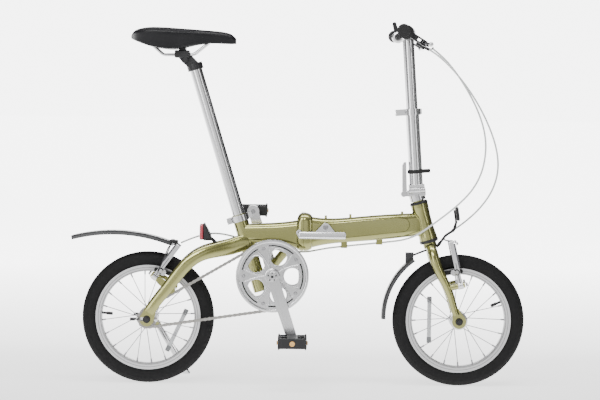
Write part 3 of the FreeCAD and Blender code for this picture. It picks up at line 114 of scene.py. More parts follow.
class Look:
    """A node material with short calls for the textures that the looks below share."""

    def __init__(self, name, color, rough, metal=0.0, **sockets):
        self.name = name
        self.material = bpy.data.materials.new(name)
        self.material.use_nodes = True
        self.tree = self.material.node_tree
        self.nodes = self.tree.nodes
        self.links = self.tree.links
        self.shader = self.nodes["Principled BSDF"]
        self.shader.inputs["Base Color"].default_value = (*color, 1)
        self.shader.inputs["Roughness"].default_value = rough
        self.shader.inputs["Metallic"].default_value = metal
        for socket, value in sockets.items():
            self.shader.inputs[socket.replace("_", " ")].default_value = value
        self.place = self.nodes.new("ShaderNodeTexCoord").outputs["Object"]
        self.bumped = None

    def stretched(self, scale):
        """Texture place scaled apart along X, Y and Z."""
        mapping = self.nodes.new("ShaderNodeMapping")
        mapping.inputs["Scale"].default_value = scale
        self.links.new(self.place, mapping.inputs["Vector"])
        return mapping.outputs["Vector"]

    def noise(self, scale, detail=3.0, place=None):
        node = self.nodes.new("ShaderNodeTexNoise")
        node.inputs["Scale"].default_value = scale
        node.inputs["Detail"].default_value = detail
        self.links.new(place or self.place, node.inputs["Vector"])
        return node.outputs["Fac"]

    def cells(self, scale, feature="F1", out="Distance"):
        node = self.nodes.new("ShaderNodeTexVoronoi")
        node.feature = feature
        node.inputs["Scale"].default_value = scale
        self.links.new(self.place, node.inputs["Vector"])
        return node.outputs[out]

    def ramp(self, value, low, high, out_low, out_high):
        return map_range(self.tree, value, low, high, out_low, out_high)

    def tint(self, value, other, strength=1.0):
        """Mix the base colour towards another where value is high."""
        mix = self.nodes.new("ShaderNodeMix")
        mix.data_type = "RGBA"
        current = self.shader.inputs["Base Color"]
        if current.is_linked:
            self.links.new(current.links[0].from_socket, mix.inputs["A"])
        else:
            mix.inputs["A"].default_value = current.default_value
        mix.inputs["B"].default_value = (*other, 1)
        self.links.new(self.ramp(value, 0, 1, 0, strength), mix.inputs["Factor"])
        self.links.new(mix.outputs["Result"], current)
        return self

    def roughen(self, value, rough_low, rough_high):
        """Vary the roughness between two numbers where value goes from 0.3 to 0.7."""
        self.links.new(self.ramp(value, 0.3, 0.7, rough_low, rough_high),
                       self.shader.inputs["Roughness"])
        return self

    def bump(self, value, depth_mm, strength=1.0):
        node = self.nodes.new("ShaderNodeBump")
        node.inputs["Strength"].default_value = strength
        node.inputs["Distance"].default_value = depth_mm * MM
        self.links.new(value, node.inputs["Height"])
        if self.bumped:
            self.links.new(self.bumped, node.inputs["Normal"])
        self.bumped = node.outputs["Normal"]
        self.links.new(self.bumped, self.shader.inputs["Normal"])
        return self

    def mottle(self, scale, detail, other, share):
        """Clouds of another colour."""
        return self.tint(self.noise(scale, detail), other, share)

    def vary(self, scale, detail, rough_low, rough_high):
        """Clouds of another roughness."""
        return self.roughen(self.noise(scale, detail), rough_low, rough_high)

    def grain(self, scale, detail, depth_mm, strength=1.0):
        """Fine uneven surface."""
        return self.bump(self.noise(scale, detail), depth_mm, strength)


def paint_looks():
    paint = Look("frame_paint", (0.31, 0.305, 0.100), 0.20, metal=0.92,
                 Coat_Weight=1.0, Coat_Roughness=0.05)
    paint.tint(paint.cells(6000, out="Color"), (0.40, 0.39, 0.15), 0.12)
    paint.mottle(9, 2, (0.22, 0.21, 0.055), 0.30).vary(60, 3, 0.16, 0.21).grain(500, 1, 0.006)
    # dark paint for the thin line that is painted shade round the beam's recessed panel
    shade = Look("painted_panel_shade", (0.085, 0.082, 0.025), 0.35, metal=0.8)
    shade.mottle(60, 3, (0.055, 0.053, 0.016), 0.6)
    return [paint, shade]


def metal_looks():
    satin = Look("satin_alloy", (0.66, 0.66, 0.665), 0.24, metal=1.0)
    satin.mottle(30, 4, (0.54, 0.54, 0.55), 0.5).vary(250, 3, 0.16, 0.24)
    rim = Look("rim_alloy", (0.58, 0.58, 0.585), 0.40, metal=0.9)
    rim.mottle(25, 4, (0.50, 0.50, 0.51), 0.5).vary(500, 5, 0.34, 0.5).grain(2500, 2, 0.015)
    bright = Look("bright_alloy", (0.74, 0.74, 0.75), 0.16, metal=1.0)
    bright.roughen(bright.noise(1.0, 3, bright.stretched((900, 900, 60))), 0.11, 0.22)
    bright.mottle(35, 4, (0.64, 0.64, 0.65), 0.5)
    chrome = Look("chrome", (0.80, 0.80, 0.80), 0.07, metal=1.0).vary(80, 4, 0.05, 0.11)
    steel = Look("steel", (0.36, 0.36, 0.37), 0.28, metal=1.0)
    steel.mottle(60, 4, (0.28, 0.28, 0.29), 0.6).vary(700, 4, 0.2, 0.38)
    # dark metal for strips and rings that are painted shade inside grooves
    groove = Look("groove_shade", (0.14, 0.14, 0.145), 0.4, metal=1.0)
    groove.mottle(60, 4, (0.09, 0.09, 0.095), 0.6)
    links = Look("chain_steel", (0.36, 0.355, 0.34), 0.33, metal=1.0)
    links.mottle(120, 4, (0.22, 0.20, 0.17), 0.7).vary(500, 4, 0.25, 0.5)
    dark = Look("black_steel", (0.008, 0.008, 0.009), 0.30, Specular_IOR_Level=0.4)
    dark.mottle(70, 4, (0.018, 0.018, 0.019), 0.6).vary(300, 4, 0.28, 0.48)
    return [satin, rim, bright, chrome, steel, groove, links, dark]


def rubber_and_plastic_looks():
    tyre = Look("tyre_rubber", (0.006, 0.006, 0.0065), 0.74, Specular_IOR_Level=0.16)
    tyre.mottle(40, 5, (0.013, 0.0128, 0.0125), 0.55).vary(160, 4, 0.62, 0.85)
    tyre.grain(2600, 3, 0.06)
    plastic = Look("black_plastic", (0.009, 0.009, 0.010), 0.46, Specular_IOR_Level=0.35)
    plastic.mottle(50, 4, (0.017, 0.017, 0.018), 0.5).vary(350, 4, 0.40, 0.58)
    plastic.bump(plastic.cells(2600), 0.03)
    fender = Look("fender_plastic", (0.014, 0.0145, 0.016), 0.32)
    fender.mottle(35, 4, (0.022, 0.023, 0.025), 0.6).vary(250, 4, 0.27, 0.42)
    fender.grain(1800, 2, 0.015)
    grip = Look("grip_rubber", (0.009, 0.009, 0.0095), 0.62, Specular_IOR_Level=0.3)
    grip.mottle(90, 4, (0.017, 0.017, 0.017), 0.6).vary(500, 4, 0.55, 0.78)
    grip.bump(grip.cells(3200), 0.05)
    saddle = Look("saddle_cover", (0.006, 0.006, 0.0075), 0.40, Specular_IOR_Level=0.22)
    saddle.mottle(45, 5, (0.011, 0.011, 0.0125), 0.6).vary(220, 4, 0.32, 0.44)
    saddle.bump(saddle.cells(1500, "SMOOTH_F1"), 0.09, 0.8).grain(90, 3, 0.12, 0.5)
    sheath = Look("cable_housing", (0.56, 0.58, 0.57), 0.30, Coat_Weight=0.4,
                  Coat_Roughness=0.12)
    sheath.mottle(60, 3, (0.46, 0.48, 0.47), 0.5).grain(900, 2, 0.02)
    thread = Look("thread", (0.075, 0.075, 0.080), 0.7)
    thread.mottle(600, 2, (0.11, 0.11, 0.115), 0.6).grain(3000, 1, 0.05)
    clip = Look("reflector_clip", (0.16, 0.165, 0.17), 0.5)
    clip.mottle(80, 4, (0.11, 0.115, 0.12), 0.6).bump(clip.cells(2600), 0.03)
    return [tyre, plastic, fender, grip, saddle, sheath, thread, clip]


def lens(name, color, rough, facet, prisms, depth_mm):
    """Coated reflector lens: prisms of two colours, facet and prisms being texture scales."""
    look = Look(name, color, rough, Coat_Weight=1.0, Coat_Roughness=0.03)
    scale, other, share = facet
    look.tint(look.cells(scale, out="Color"), other, share)
    return look.bump(look.cells(prisms), depth_mm)


def lens_looks():
    return [lens("red_lens", (0.30, 0.012, 0.030), 0.10, (330, (0.55, 0.05, 0.07), 0.5), 420, 0.5),
            lens("clear_lens", (0.46, 0.47, 0.48), 0.10, (330, (0.28, 0.29, 0.30), 0.5), 420, 0.5),
            lens("amber_lens", (0.62, 0.30, 0.05), 0.12, (400, (0.80, 0.50, 0.14), 0.6), 500, 0.4)]


LOOKS = {look.name: look.material for look in
         paint_looks() + metal_looks() + rubber_and_plastic_looks() + lens_looks()}


# ---- looks of the CAD nodes
NODE_LOOKS = {
    "frame_paint": ["seat_tube", "rear_beam", "rear_hinge_half", "bottom_bracket",
                    "frame_braces", "rear_stays", "front_beam", "front_hinge_half",
                    "head_tube", "fork"],
    "tyre_rubber": ["rear_tyre", "front_tyre"],
    "rim_alloy": ["rear_rim", "front_rim"],
    "satin_alloy": ["chainring", "right_crank", "left_crank", "kickstand", "main_latch",
                    "handlepost_base", "handlepost_latch"],
    "bright_alloy": ["rear_hub", "front_hub", "seatpost", "handlepost_lower",
                     "handlepost_upper", "handlebar", "telescope_lever", "seat_collar",
                     "seat_lever", "brake_lever_right", "brake_lever_left",
                     "rear_brake_arm_left", "rear_brake_arm_right", "front_brake_arm_left",
                     "front_brake_arm_right"],
    "steel": ["rear_spokes", "front_spokes", "spindles"],
    "chain_steel": ["freewheel", "chain"],
    "black_steel": ["rear_axle", "front_axle", "headset", "rear_brackets", "saddle_mount"],
    "black_plastic": ["right_pedal", "left_pedal", "bar_fittings", "bell_lever",
                      "rear_wheel_fittings", "front_wheel_fittings", "front_reflector"],
    "fender_plastic": ["rear_fender", "front_fender"],
    "grip_rubber": ["grips"],
    "saddle_cover": ["saddle"],
    "cable_housing": ["rear_brake_cable", "front_brake_cable"],
    "red_lens": ["rear_reflector"],
}


def dress_nodes():
    for look, names in NODE_LOOKS.items():
        for name in names:
            mesh = NODES[name].data
            mesh.materials.clear()
            mesh.materials.append(LOOKS[look])


dress_nodes()


# ---- mesh building blocks
def metres(points):
    return [Vector(p) * MM for p in points]


def turns(sides):
    """Angles of the corners of a ring."""
    return [2 * math.pi * i / sides for i in range(sides)]


def squared(turn, power_across, power_up):
    """Across and up on a unit circle, pressed towards a square as the powers go to 0."""
    across, up = math.cos(turn), math.sin(turn)
    return (math.copysign(abs(across) ** power_across, across),
            math.copysign(abs(up) ** power_up, up))


def round_ring(middle, normal, aside, radius, sides):
    return [middle + (normal * math.cos(t) + aside * math.sin(t)) * radius
            for t in turns(sides)]


def in_plane(centre, radius, turn):
    """Point at a distance from centre, turned from +X towards +Z."""
    return centre + Vector((radius * math.cos(turn), 0, radius * math.sin(turn)))


def mix(a, b, share):
    return a + (b - a) * share


def measured(points):
    """Distance of each point along a line from the line's start."""
    lengths = [0.0]
    for a, b in zip(points, points[1:]):
        lengths.append(lengths[-1] + (b - a).length)
    return lengths


def spaced(points, lengths, steps):
    """Points at even distances along a line, from its start to its end."""
    even = []
    at = 0
    for n in range(steps + 1):
        want = lengths[-1] * n / steps
        while at < len(lengths) - 2 and lengths[at + 1] < want:
            at += 1
        share = (want - lengths[at]) / max(lengths[at + 1] - lengths[at], 1e-9)
        even.append(points[at].lerp(points[at + 1], min(share, 1.0)))
    return even


class Mold:
    """Gathers mesh parts, each with its own look, into one piece."""

    def __init__(self, name):
        self.name = name
        self.verts = []
        self.faces = []
        self.slots = []
        self.looks = []

    def add(self, verts, faces, look):
        base = len(self.verts)
        self.verts += [tuple(v) for v in verts]
        if look not in self.looks:
            self.looks.append(look)
        slot = self.looks.index(look)
        self.faces += [[base + i for i in face] for face in faces]
        self.slots += [slot] * len(faces)

    def skin(self, rings, look, caps=True, wrap=False):
        """Skin over closed rings of points that all have the same count."""
        count = len(rings[0])
        verts = [point for ring in rings for point in ring]
        faces = []
        for n in range(len(rings) if wrap else len(rings) - 1):
            a, b = n * count, (n + 1) % len(rings) * count
            faces += [[a + i, a + (i + 1) % count, b + (i + 1) % count, b + i]
                      for i in range(count)]
        if caps and not wrap:
            faces.append(list(range(count))[::-1])
            faces.append([len(verts) - count + i for i in range(count)])
        self.add(verts, faces, look)

    def tube(self, points, radius, look, sides=12):
        """Round tube along points; radius is one number or one per point."""
        radii = radius if isinstance(radius, list) else [radius] * len(points)
        rings = []
        normal = None
        for n, (point, r) in enumerate(zip(points, radii)):
            along = (points[min(n + 1, len(points) - 1)] - points[max(n - 1, 0)]).normalized()
            normal = normal or along.orthogonal()
            normal = (normal - along * normal.dot(along)).normalized()
            aside = along.cross(normal)
            rings.append(round_ring(point, normal, aside, r, sides))
        self.skin(rings, look)

    def lathe(self, profile, centre, axis, look, sides=32, closed=False):
        """Turned form: profile is (radius, distance along the axis) in millimetres."""
        axis = Vector(axis).normalized()
        normal = axis.orthogonal().normalized()
        aside = axis.cross(normal)
        rings = []
        for radius, distance in profile:
            middle = Vector(centre) + axis * (distance * MM)
            rings.append(round_ring(middle, normal, aside, max(radius * MM, 1e-5), sides))
        self.skin(rings, look, caps=not closed, wrap=closed)

    def plate(self, outline, thick, place, look, bevel=0.0004):
        """Flat plate with rounded-off edges: an outline in place's XY plane, centred on it."""
        middle = sum((Vector(p) for p in outline), Vector((0, 0))) / len(outline)
        reach = max((Vector(p) - middle).length for p in outline)
        rings = []
        for share, z in ((1 - bevel / reach, -thick / 2), (1, -thick / 2 + bevel),
                         (1, thick / 2 - bevel), (1 - bevel / reach, thick / 2)):
            rings.append([place @ (middle + (Vector(p) - middle) * share).to_3d()
                          + place.to_3x3() @ Vector((0, 0, z)) for p in outline])
        self.skin(rings, look)

    def make(self, body, *replaced, slot=None, sharp=38):
        """The finished piece, riding on a body and standing for the replaced nodes."""
        mesh = bpy.data.meshes.new(self.name)
        mesh.from_pydata(self.verts, [], self.faces)
        for look in self.looks:
            mesh.materials.append(LOOKS[look])
        mesh.polygons.foreach_set("material_index", self.slots)
        tidy = bmesh.new()
        tidy.from_mesh(mesh)
        bmesh.ops.recalc_face_normals(tidy, faces=tidy.faces)
        tidy.to_mesh(mesh)
        tidy.free()
        mesh.polygons.foreach_set("use_smooth", [True] * len(mesh.polygons))
        mesh.set_sharp_from_angle(angle=math.radians(sharp))
        piece = bpy.data.objects.new(self.name, mesh)
        bpy.context.scene.collection.objects.link(piece)
        if body:
            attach(piece, body)
        if replaced:
            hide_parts(*replaced)
        return piece


def facing(origin, normal, up=(0, 0, 1)):
    """Placement whose XY plane is square to a normal, its Y nearest to up."""
    z = Vector(normal).normalized()
    x = Vector(up).cross(z).normalized()
    y = z.cross(x)
    turn = Matrix((x, y, z)).transposed().to_4x4()
    return Matrix.Translation(Vector(origin)) @ turn


def circle(radius, sides=24):
    return [(radius * math.cos(t), radius * math.sin(t)) for t in turns(sides)]


def curve_mesh(curve):
    """Points and faces that Blender makes of a curve, which is not kept."""
    holder = bpy.data.objects.new("curve", curve)
    bpy.context.scene.collection.objects.link(holder)
    bpy.context.view_layer.update()
    mesh = bpy.data.meshes.new_from_object(holder)
    points = [vertex.co.copy() for vertex in mesh.vertices]
    faces = [list(polygon.vertices) for polygon in mesh.polygons]
    bpy.data.objects.remove(holder)
    bpy.data.meshes.remove(mesh)
    return points, faces


def smooth_line(points, step=0.004):
    """Evenly spaced points read from the NURBS line that has these control points."""
    curve = bpy.data.curves.new("line", "CURVE")
    curve.dimensions = "3D"
    spline = curve.splines.new("NURBS")
    spline.points.add(len(points) - 1)
    for target, point in zip(spline.points, points):
        target.co = (*point, 1)
    spline.order_u = 3
    spline.use_endpoint_u = True
    spline.resolution_u = 16
    line = curve_mesh(curve)[0]
    even = [line[0]]
    for point in line[1:-1]:
        if (point - even[-1]).length >= step:
            even.append(point)
    return even + [line[-1]]


def along(points, keys):
    """Smooth interpolation of rows of numbers by their first one."""
    out = []
    for x in keys:
        spot = max(i for i in range(len(points)) if points[i][0] <= x + 1e-9)
        spot = min(spot, len(points) - 2)
        a, b = points[spot], points[spot + 1]
        before = points[max(spot - 1, 0)]
        after = points[min(spot + 2, len(points) - 1)]
        t = (x - a[0]) / (b[0] - a[0])
        row = []
        for k in range(1, len(a)):
            span = b[0] - a[0]
            left = (b[k] - before[k]) / (b[0] - before[0]) * span
            right = (after[k] - a[k]) / (after[0] - a[0]) * span
            row.append((2 * t ** 3 - 3 * t ** 2 + 1) * a[k] + (t ** 3 - 2 * t ** 2 + t) * left
                       + (3 * t ** 2 - 2 * t ** 3) * b[k] + (t ** 3 - t ** 2) * right)
        out.append(row)
    return out


def loose_parts(mesh):
    """Sets of polygon indices, one for each connected part, with the part's corners."""
    owner = list(range(len(mesh.vertices)))

    def root(v):
        while owner[v] != v:
            owner[v] = owner[owner[v]]
            v = owner[v]
        return v

    spots = {}
    for vertex in mesh.vertices:
        key = tuple(round(c, 5) for c in vertex.co)
        owner[root(vertex.index)] = root(spots.setdefault(key, vertex.index))
    for edge in mesh.edges:
        owner[root(edge.vertices[0])] = root(edge.vertices[1])
    groups = {}
    for polygon in mesh.polygons:
        groups.setdefault(root(polygon.vertices[0]), []).append(polygon.index)
    for polygons in groups.values():
        points = [mesh.vertices[v].co for p in polygons for v in mesh.polygons[p].vertices]
        low = Vector([min(p[k] for p in points) for k in range(3)])
        high = Vector([max(p[k] for p in points) for k in range(3)])
        yield polygons, low, high


def set_looks(mesh, looks):
    """Rebuild the mesh's material list and point each face at its look."""
    names = sorted(set(looks.values()))
    mesh.materials.clear()
    for name in names:
        mesh.materials.append(LOOKS[name])
    for index, name in looks.items():
        mesh.polygons[index].material_index = names.index(name)


def dress_parts(node, choose):
    """Give each solid of a CAD node the look that choose(low, high corner in mm) names."""
    mesh = NODES[node].data
    looks = {}
    for polygons, low, high in loose_parts(mesh):
        for index in polygons:
            looks[index] = choose(low / MM, high / MM)
    set_looks(mesh, looks)


def dress_faces(node, choose):
    """Give each face of a CAD node the look that choose(middle in mm) names."""
    mesh = NODES[node].data
    set_looks(mesh, {polygon.index: choose(polygon.center / MM) for polygon in mesh.polygons})


# ---- tyres
def tyre_profile():
    """Half section from bead to crown as (radius, y, is tread), in millimetres."""
    side = [(127.0, 9.9), (133.2, 10.1), (134.3, 11.4), (134.7, 14.0), (136.2, 16.5),
            (138.4, 17.9), (139.4, 18.7), (140.4, 18.6), (143.0, 19.4), (147.0, 19.8),
            (150.5, 19.3), (152.6, 18.8), (153.6, 19.0), (154.6, 18.4), (156.6, 17.2)]
    crown = [(167.0 - 9.6 * (y / 17.0) ** 2.6, y) for y in (16.4, 15.2, 14, 12.8, 11.6, 10.4, 9.4,
                                                         8.2, 7.0, 5.8, 4.8, 4.5, 3.3, 3.0,
                                                         1.6, 0.0)]
    return [(r, y, 0) for r, y in side] + [(r, y, 1) for r, y in crown]


def tread_depth(y, phase):
    """Depth in mm of the tread's grooves at a y, phase being the share of one block's pitch."""
    rib, blocks = 3.2, 4.6
    if rib <= abs(y) <= blocks:
        return 1.1
    if abs(y) > blocks and phase < 0.26:
        return 1.2
    if abs(y) < rib and phase < 0.12:
        return 0.5
    return 0.0


def make_tyre(end, centre):
    half = tyre_profile()
    outer = half + [(r, -y, tread) for r, y, tread in reversed(half[:-1])]
    inner = [(127.0, -7.6, 0), (133.0, -7.6, 0), (147.0, -16.6, 0), (160.0, -8.0, 0),
             (163.0, 0, 0), (160.0, 8.0, 0), (147.0, 16.6, 0), (133.0, 7.6, 0), (127.0, 7.6, 0)]
    steps, blocks = 480, 72
    slant = 0.035
    rings = []
    for n, turn in enumerate(turns(steps)):
        ring = []
        for r, y, tread in outer + inner:
            # the blocks slant, and those of the two sides alternate
            phase = (n * blocks / steps + slant * abs(y) + (0.5 if y > 0 else 0.0)) % 1.0
            out = (r - tread_depth(y, phase) * tread) * MM
            ring.append(in_plane(centre, out, turn) + Vector((0, y * MM, 0)))
        rings.append(ring)
    mold = Mold(end + "_tyre_tread")
    mold.skin(rings, "tyre_rubber", wrap=True)
    mold.make(end + "_wheel", end + "_tyre", slot="tyre_rubber", sharp=50)


# ---- chain
def chain_path(pitch):
    """Loop round the ring and the sprocket, on which the pins lie."""
    ring_steps, cog_steps = 240, 120
    ring_r = pitch / (2 * math.sin(math.pi / RING_TEETH))
    cog_r = pitch / (2 * math.sin(math.pi / COG_TEETH))
    ring = Vector((CRANK.x, COG.y, CRANK.z))
    base = math.atan2(ring.z - COG.z, ring.x - COG.x)
    swing = math.asin((ring_r - cog_r) / (ring - COG).length)
    top = base + math.pi / 2 + swing
    low = base - math.pi / 2 - swing
    back = low - (2 * math.pi - (top - low))
    path = [in_plane(ring, ring_r, mix(top, low, n / ring_steps))
            for n in range(ring_steps + 1)]
    path += [in_plane(COG, cog_r, mix(low, back, n / cog_steps)) for n in range(cog_steps + 1)]
    return path + path[:1]


def link_outline(long):
    """Side plate of a chain link: two round ends and a waist."""
    end, waist = 4.0 * MM, 2.9 * MM
    outline = []
    for side, start in ((-1, 90), (1, -90)):
        for k in range(7):
            t = math.radians(start + 30 * k)
            outline.append((side * long / 2 + end * math.cos(t), end * math.sin(t)))
        outline.append((0, side * waist))
    return outline


def make_chain():
    """Roller chain round the sprocket and the chainring."""
    pitch = 12.7 * MM
    path = chain_path(pitch)
    lengths = measured(path)
    pins = spaced(path, lengths, 2 * round(lengths[-1] / pitch / 2))[:-1]
    across = Vector((0, 1, 0))
    mold = Mold("chain_links")
    for n, (a, b) in enumerate(zip(pins, pins[1:] + pins[:1])):
        ahead = (b - a).normalized()
        outline = link_outline((b - a).length)
        offset = (2.9 if n % 2 else 2.0) * MM
        for side in (-1, 1):
            place = facing((a + b) / 2 + across * side * offset, across, up=ahead.cross(across))
            mold.plate(outline, 0.85 * MM, place, "chain_steel", bevel=0.2 * MM)
        mold.lathe([(0, -3.4), (1.6, -3.4), (1.6, 3.4), (0, 3.4)], a, across, "steel", sides=8)
        mold.lathe([(3.6, -1.5), (3.8, -1.2), (3.8, 1.2), (3.6, 1.5)], a, across,
                   "chain_steel", sides=10)
    mold.make("rear_frame", "chain", slot="steel")


# ---- chainwheel
def cut_plate(mold, outlines, thick, place, look, bevel=0.0003):
    """Flat plate with bevelled edges: the first outline, less the others, in place's XY plane."""
    curve = bpy.data.curves.new("plate", "CURVE")
    curve.dimensions = "2D"
    curve.fill_mode = "BOTH"
    curve.extrude = thick / 2 - bevel
    curve.bevel_depth = bevel
    curve.offset = -bevel
    for outline in outlines:
        spline = curve.splines.new("POLY")
        spline.points.add(len(outline) - 1)
        for target, (x, y) in zip(spline.points, outline):
            target.co = (x, y, 0, 1)
        spline.use_cyclic_u = True
    points, faces = curve_mesh(curve)
    mold.add([place @ point for point in points], faces, look)


def shifted(outline, x, y):
    return [(x + px, y + py) for px, py in outline]


def polar(radius, degrees):
    turn = math.radians(degrees)
    return radius * math.cos(turn), radius * math.sin(turn)


# the guard's arms, and the radii in mm of the middles of its windows and bolts
ARMS = 5
ARM_STEP = 360 / ARMS
WINDOWS_AT, BOLTS_AT = 50.0, 72.5


def on_chainwheel(radius, degrees, y=0.0):
    """Place beside the crank's axis, radius and y in millimetres."""
    x, z = polar(radius * MM, degrees)
    return Vector((CRANK.x + x, y * MM, CRANK.z + z))


def guard_holes():
    """Outlines of the guard's bore, its round windows and its arc slots."""
    holes = [circle(11 * MM, 32)]
    for n in range(ARMS):
        holes.append(shifted(circle(20.6 * MM, 40), *polar(WINDOWS_AT * MM, ARM_STEP * n)))
    for n in range(ARMS):
        holes.append([polar(78.6 * MM, ARM_STEP * n + t) for t in range(-25, 26, 2)]
                     + [polar(75.2 * MM, ARM_STEP * n - t) for t in range(-25, 26, 2)])
    return holes


def toothed_edge():
    """Outline of the toothed ring, six points to a tooth."""
    edge = []
    for n in range(RING_TEETH * 6):
        wave = max(math.cos(2 * math.pi * n / 6), -0.9)
        edge.append(polar((84.6 + 3.1 * wave) * MM, 360 * n / RING_TEETH / 6))
    return edge


def make_chainwheel():
    """Toothed ring, pressed guard with five windows and raised ribs, and its bolts."""
    low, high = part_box("chainring")
    guard = (high.x - low.x) / 2
    edge = guard / MM
    mold = Mold("chainwheel")
    out = Vector((0, -1, 0))
    axle = on_chainwheel(0, 0)

    def at(depth_mm):
        return Matrix.Translation(out * depth_mm * MM) @ facing(axle, out)

    cut_plate(mold, [circle(guard, 120)] + guard_holes(), 2.4 * MM, at(47.1), "satin_alloy")
    cut_plate(mold, [toothed_edge(), circle(66 * MM, 60)], 2.2 * MM, at(42.0), "satin_alloy")
    rim = [(edge - 9, 47.9), (edge - 7.5, 49.6), (edge - 4, 50.4), (edge - 1.2, 49.6),
           (edge - 0.1, 47.9), (edge - 0.4, 46.2), (edge - 3, 45.9), (edge - 9, 46.2)]
    inner = [(71.5, 48.1), (72.2, 48.9), (74.0, 48.9), (74.7, 48.1), (73, 47.4)]
    # black ring between the two plates behind the arc slots, painted shade seen through them
    slot_shade = [(74.4, 45.0), (79.6, 45.0), (79.6, 44.4), (74.4, 44.4)]
    hub = [(11, 46), (20, 47.8), (19.0, 49.8), (16.5, 50.8), (11, 50.8)]
    lip = [(20.9, 48.0), (21.4, 49.0), (22.6, 49.2), (23.6, 48.2), (22, 47.4)]
    bolt = [(0, 41), (4.9, 41), (4.9, 48.6), (4.4, 49.8), (2.6, 50.0), (2.3, 48.8), (0, 48.8)]
    for profile, look, sides in ((rim, "satin_alloy", 120), (inner, "satin_alloy", 100),
                                 (slot_shade, "black_steel", 100), (hub, "satin_alloy", 48)):
        mold.lathe(profile, axle, out, look, sides, closed=True)
    for n in range(ARMS):
        between = ARM_STEP * (n + 0.5)
        mold.lathe(lip, on_chainwheel(WINDOWS_AT, ARM_STEP * n), out, "satin_alloy", 40,
                   closed=True)
        mold.lathe(bolt, on_chainwheel(BOLTS_AT, between), out, "steel", 20)
        for side in (-1, 1):
            rib = [on_chainwheel(radius, between + side * spread, -48.1)
                   for radius, spread in ((20, 0), (46, 3.0), (72, 12.5))]
            mold.tube(smooth_line(rib, 0.003), 1.7 * MM, "satin_alloy", 10)
    mold.make("crankset", "chainring", slot="satin_alloy", sharp=40)


# ---- main hinge and its latch
def rounded_ring(x, half_y, low, high, radius, count=9):
    """Rounded rectangle square to X at x: half-width in Y and its lowest and highest Z."""
    ring = []
    for cy, cz, start in ((half_y - radius, high - radius, 0),
                          (-half_y + radius, high - radius, 90),
                          (-half_y + radius, low + radius, 180),
                          (half_y - radius, low + radius, 270)):
        for n in range(count):
            t = math.radians(start + 90 * n / (count - 1))
            ring.append(Vector((x, cy + radius * math.cos(t), cz + radius * math.sin(t))) * MM)
    return ring


# in mm, the hinge's faces: lowest and highest Z, half-width, and the radius of their corners
HINGE_LOW, HINGE_HIGH, HINGE_HALF, HINGE_CORNER = 339.0, 437.0, 30.0, 22.0
HINGE_GAP = 0.3


def collar_rings(outer, face, beam_low, beam_high):
    """Dome from the beam's section at outer to the hinge's face, with its edge eased."""
    beam_half, beam_corner = 23.0, 17.0
    steps = 12
    rings = []
    for n in range(steps + 1):
        share = (n / steps) ** 1.6
        grow = 0.955 if n == steps else math.sqrt(1 - (1 - share) ** 2)
        rings.append(rounded_ring(mix(outer, face, share), mix(beam_half, HINGE_HALF, grow),
                                  mix(beam_low, HINGE_LOW, grow),
                                  mix(beam_high, HINGE_HIGH, grow),
                                  mix(beam_corner, HINGE_CORNER, grow)))
    return rings


def on_pin(fold):
    """Point of the fold's pin at the floor, so that its turned parts are drawn by height."""
    return Vector((fold.x, fold.y, 0)) * MM


def add_knuckle(mold, fold, bottom, top, web_start, web_end):
    """Barrel round the fold's pin and the web that joins it to the hinge's face."""
    barrel = [(0, bottom), (8.2, bottom), (9, bottom + 0.8), (9, top - 0.8), (8.2, top), (0, top)]
    mold.lathe(barrel, on_pin(fold), (0, 0, 1), "frame_paint", 28)
    web_y = Vector((0, 31.5 * MM, 0))
    mold.skin([[p + web_y for p in rounded_ring(x, 8, bottom, top, 2)]
               for x in (web_start, web_end)], "frame_paint")


def make_rear_hinge():
    """Domed collar of the rear beam, with two knuckles, the fold's pin and the latch's stud."""
    fold = joint_at("main_fold") / MM
    mold = Mold("rear_hinge_collar")
    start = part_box("rear_hinge_half")[0].x / MM
    mold.skin(collar_rings(start, fold.x - HINGE_GAP, 346, 416), "frame_paint")
    for bottom, top in ((344, 364), (412, 432)):
        add_knuckle(mold, fold, bottom, top, fold.x - 12, fold.x - HINGE_GAP)
    pin = [(0, 339), (5.2, 339), (5.8, 340), (5.8, 342), (4, 342.4), (4, 433), (5.8, 433.4),
           (5.8, 435), (5.2, 436), (0, 436)]
    mold.lathe(pin, on_pin(fold), (0, 0, 1), "steel", 24)
    stud = [(0, 26), (5, 26), (5, 40), (4.2, 41), (0, 41)]
    mold.lathe(stud, Vector((3.5, 0, 388)) * MM, (0, -1, 0), "steel", 20)
    mold.make("rear_frame", "rear_hinge_half", slot="frame_paint")


def make_front_hinge():
    """Domed collar of the front beam, with one knuckle and the latch's pivot."""
    fold = joint_at("main_fold") / MM
    mold = Mold("front_hinge_collar")
    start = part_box("front_beam")[0].x / MM
    mold.skin(collar_rings(start, fold.x + HINGE_GAP, 349, 425), "frame_paint")
    add_knuckle(mold, fold, 364.4, 411.6, fold.x + HINGE_GAP, fold.x + 16)
    pivot = joint_at("main_latch_turn")
    boss = [(0, -13), (9, -13), (8.4, -9), (6.2, -6), (6.2, -3.2), (0, -3.2)]
    bolt = [(0, -4), (4, -4), (4, 7.2), (6.6, 7.2), (6.6, 10.4), (5.8, 11.2), (3.2, 11.2),
            (2.8, 9.4), (0, 9.4)]
    mold.lathe(boss, pivot, (0, -1, 0), "frame_paint", 28)
    mold.lathe(bolt, pivot, (0, -1, 0), "steel", 24)
    mold.make("front_frame", "front_hinge_half", slot="frame_paint")


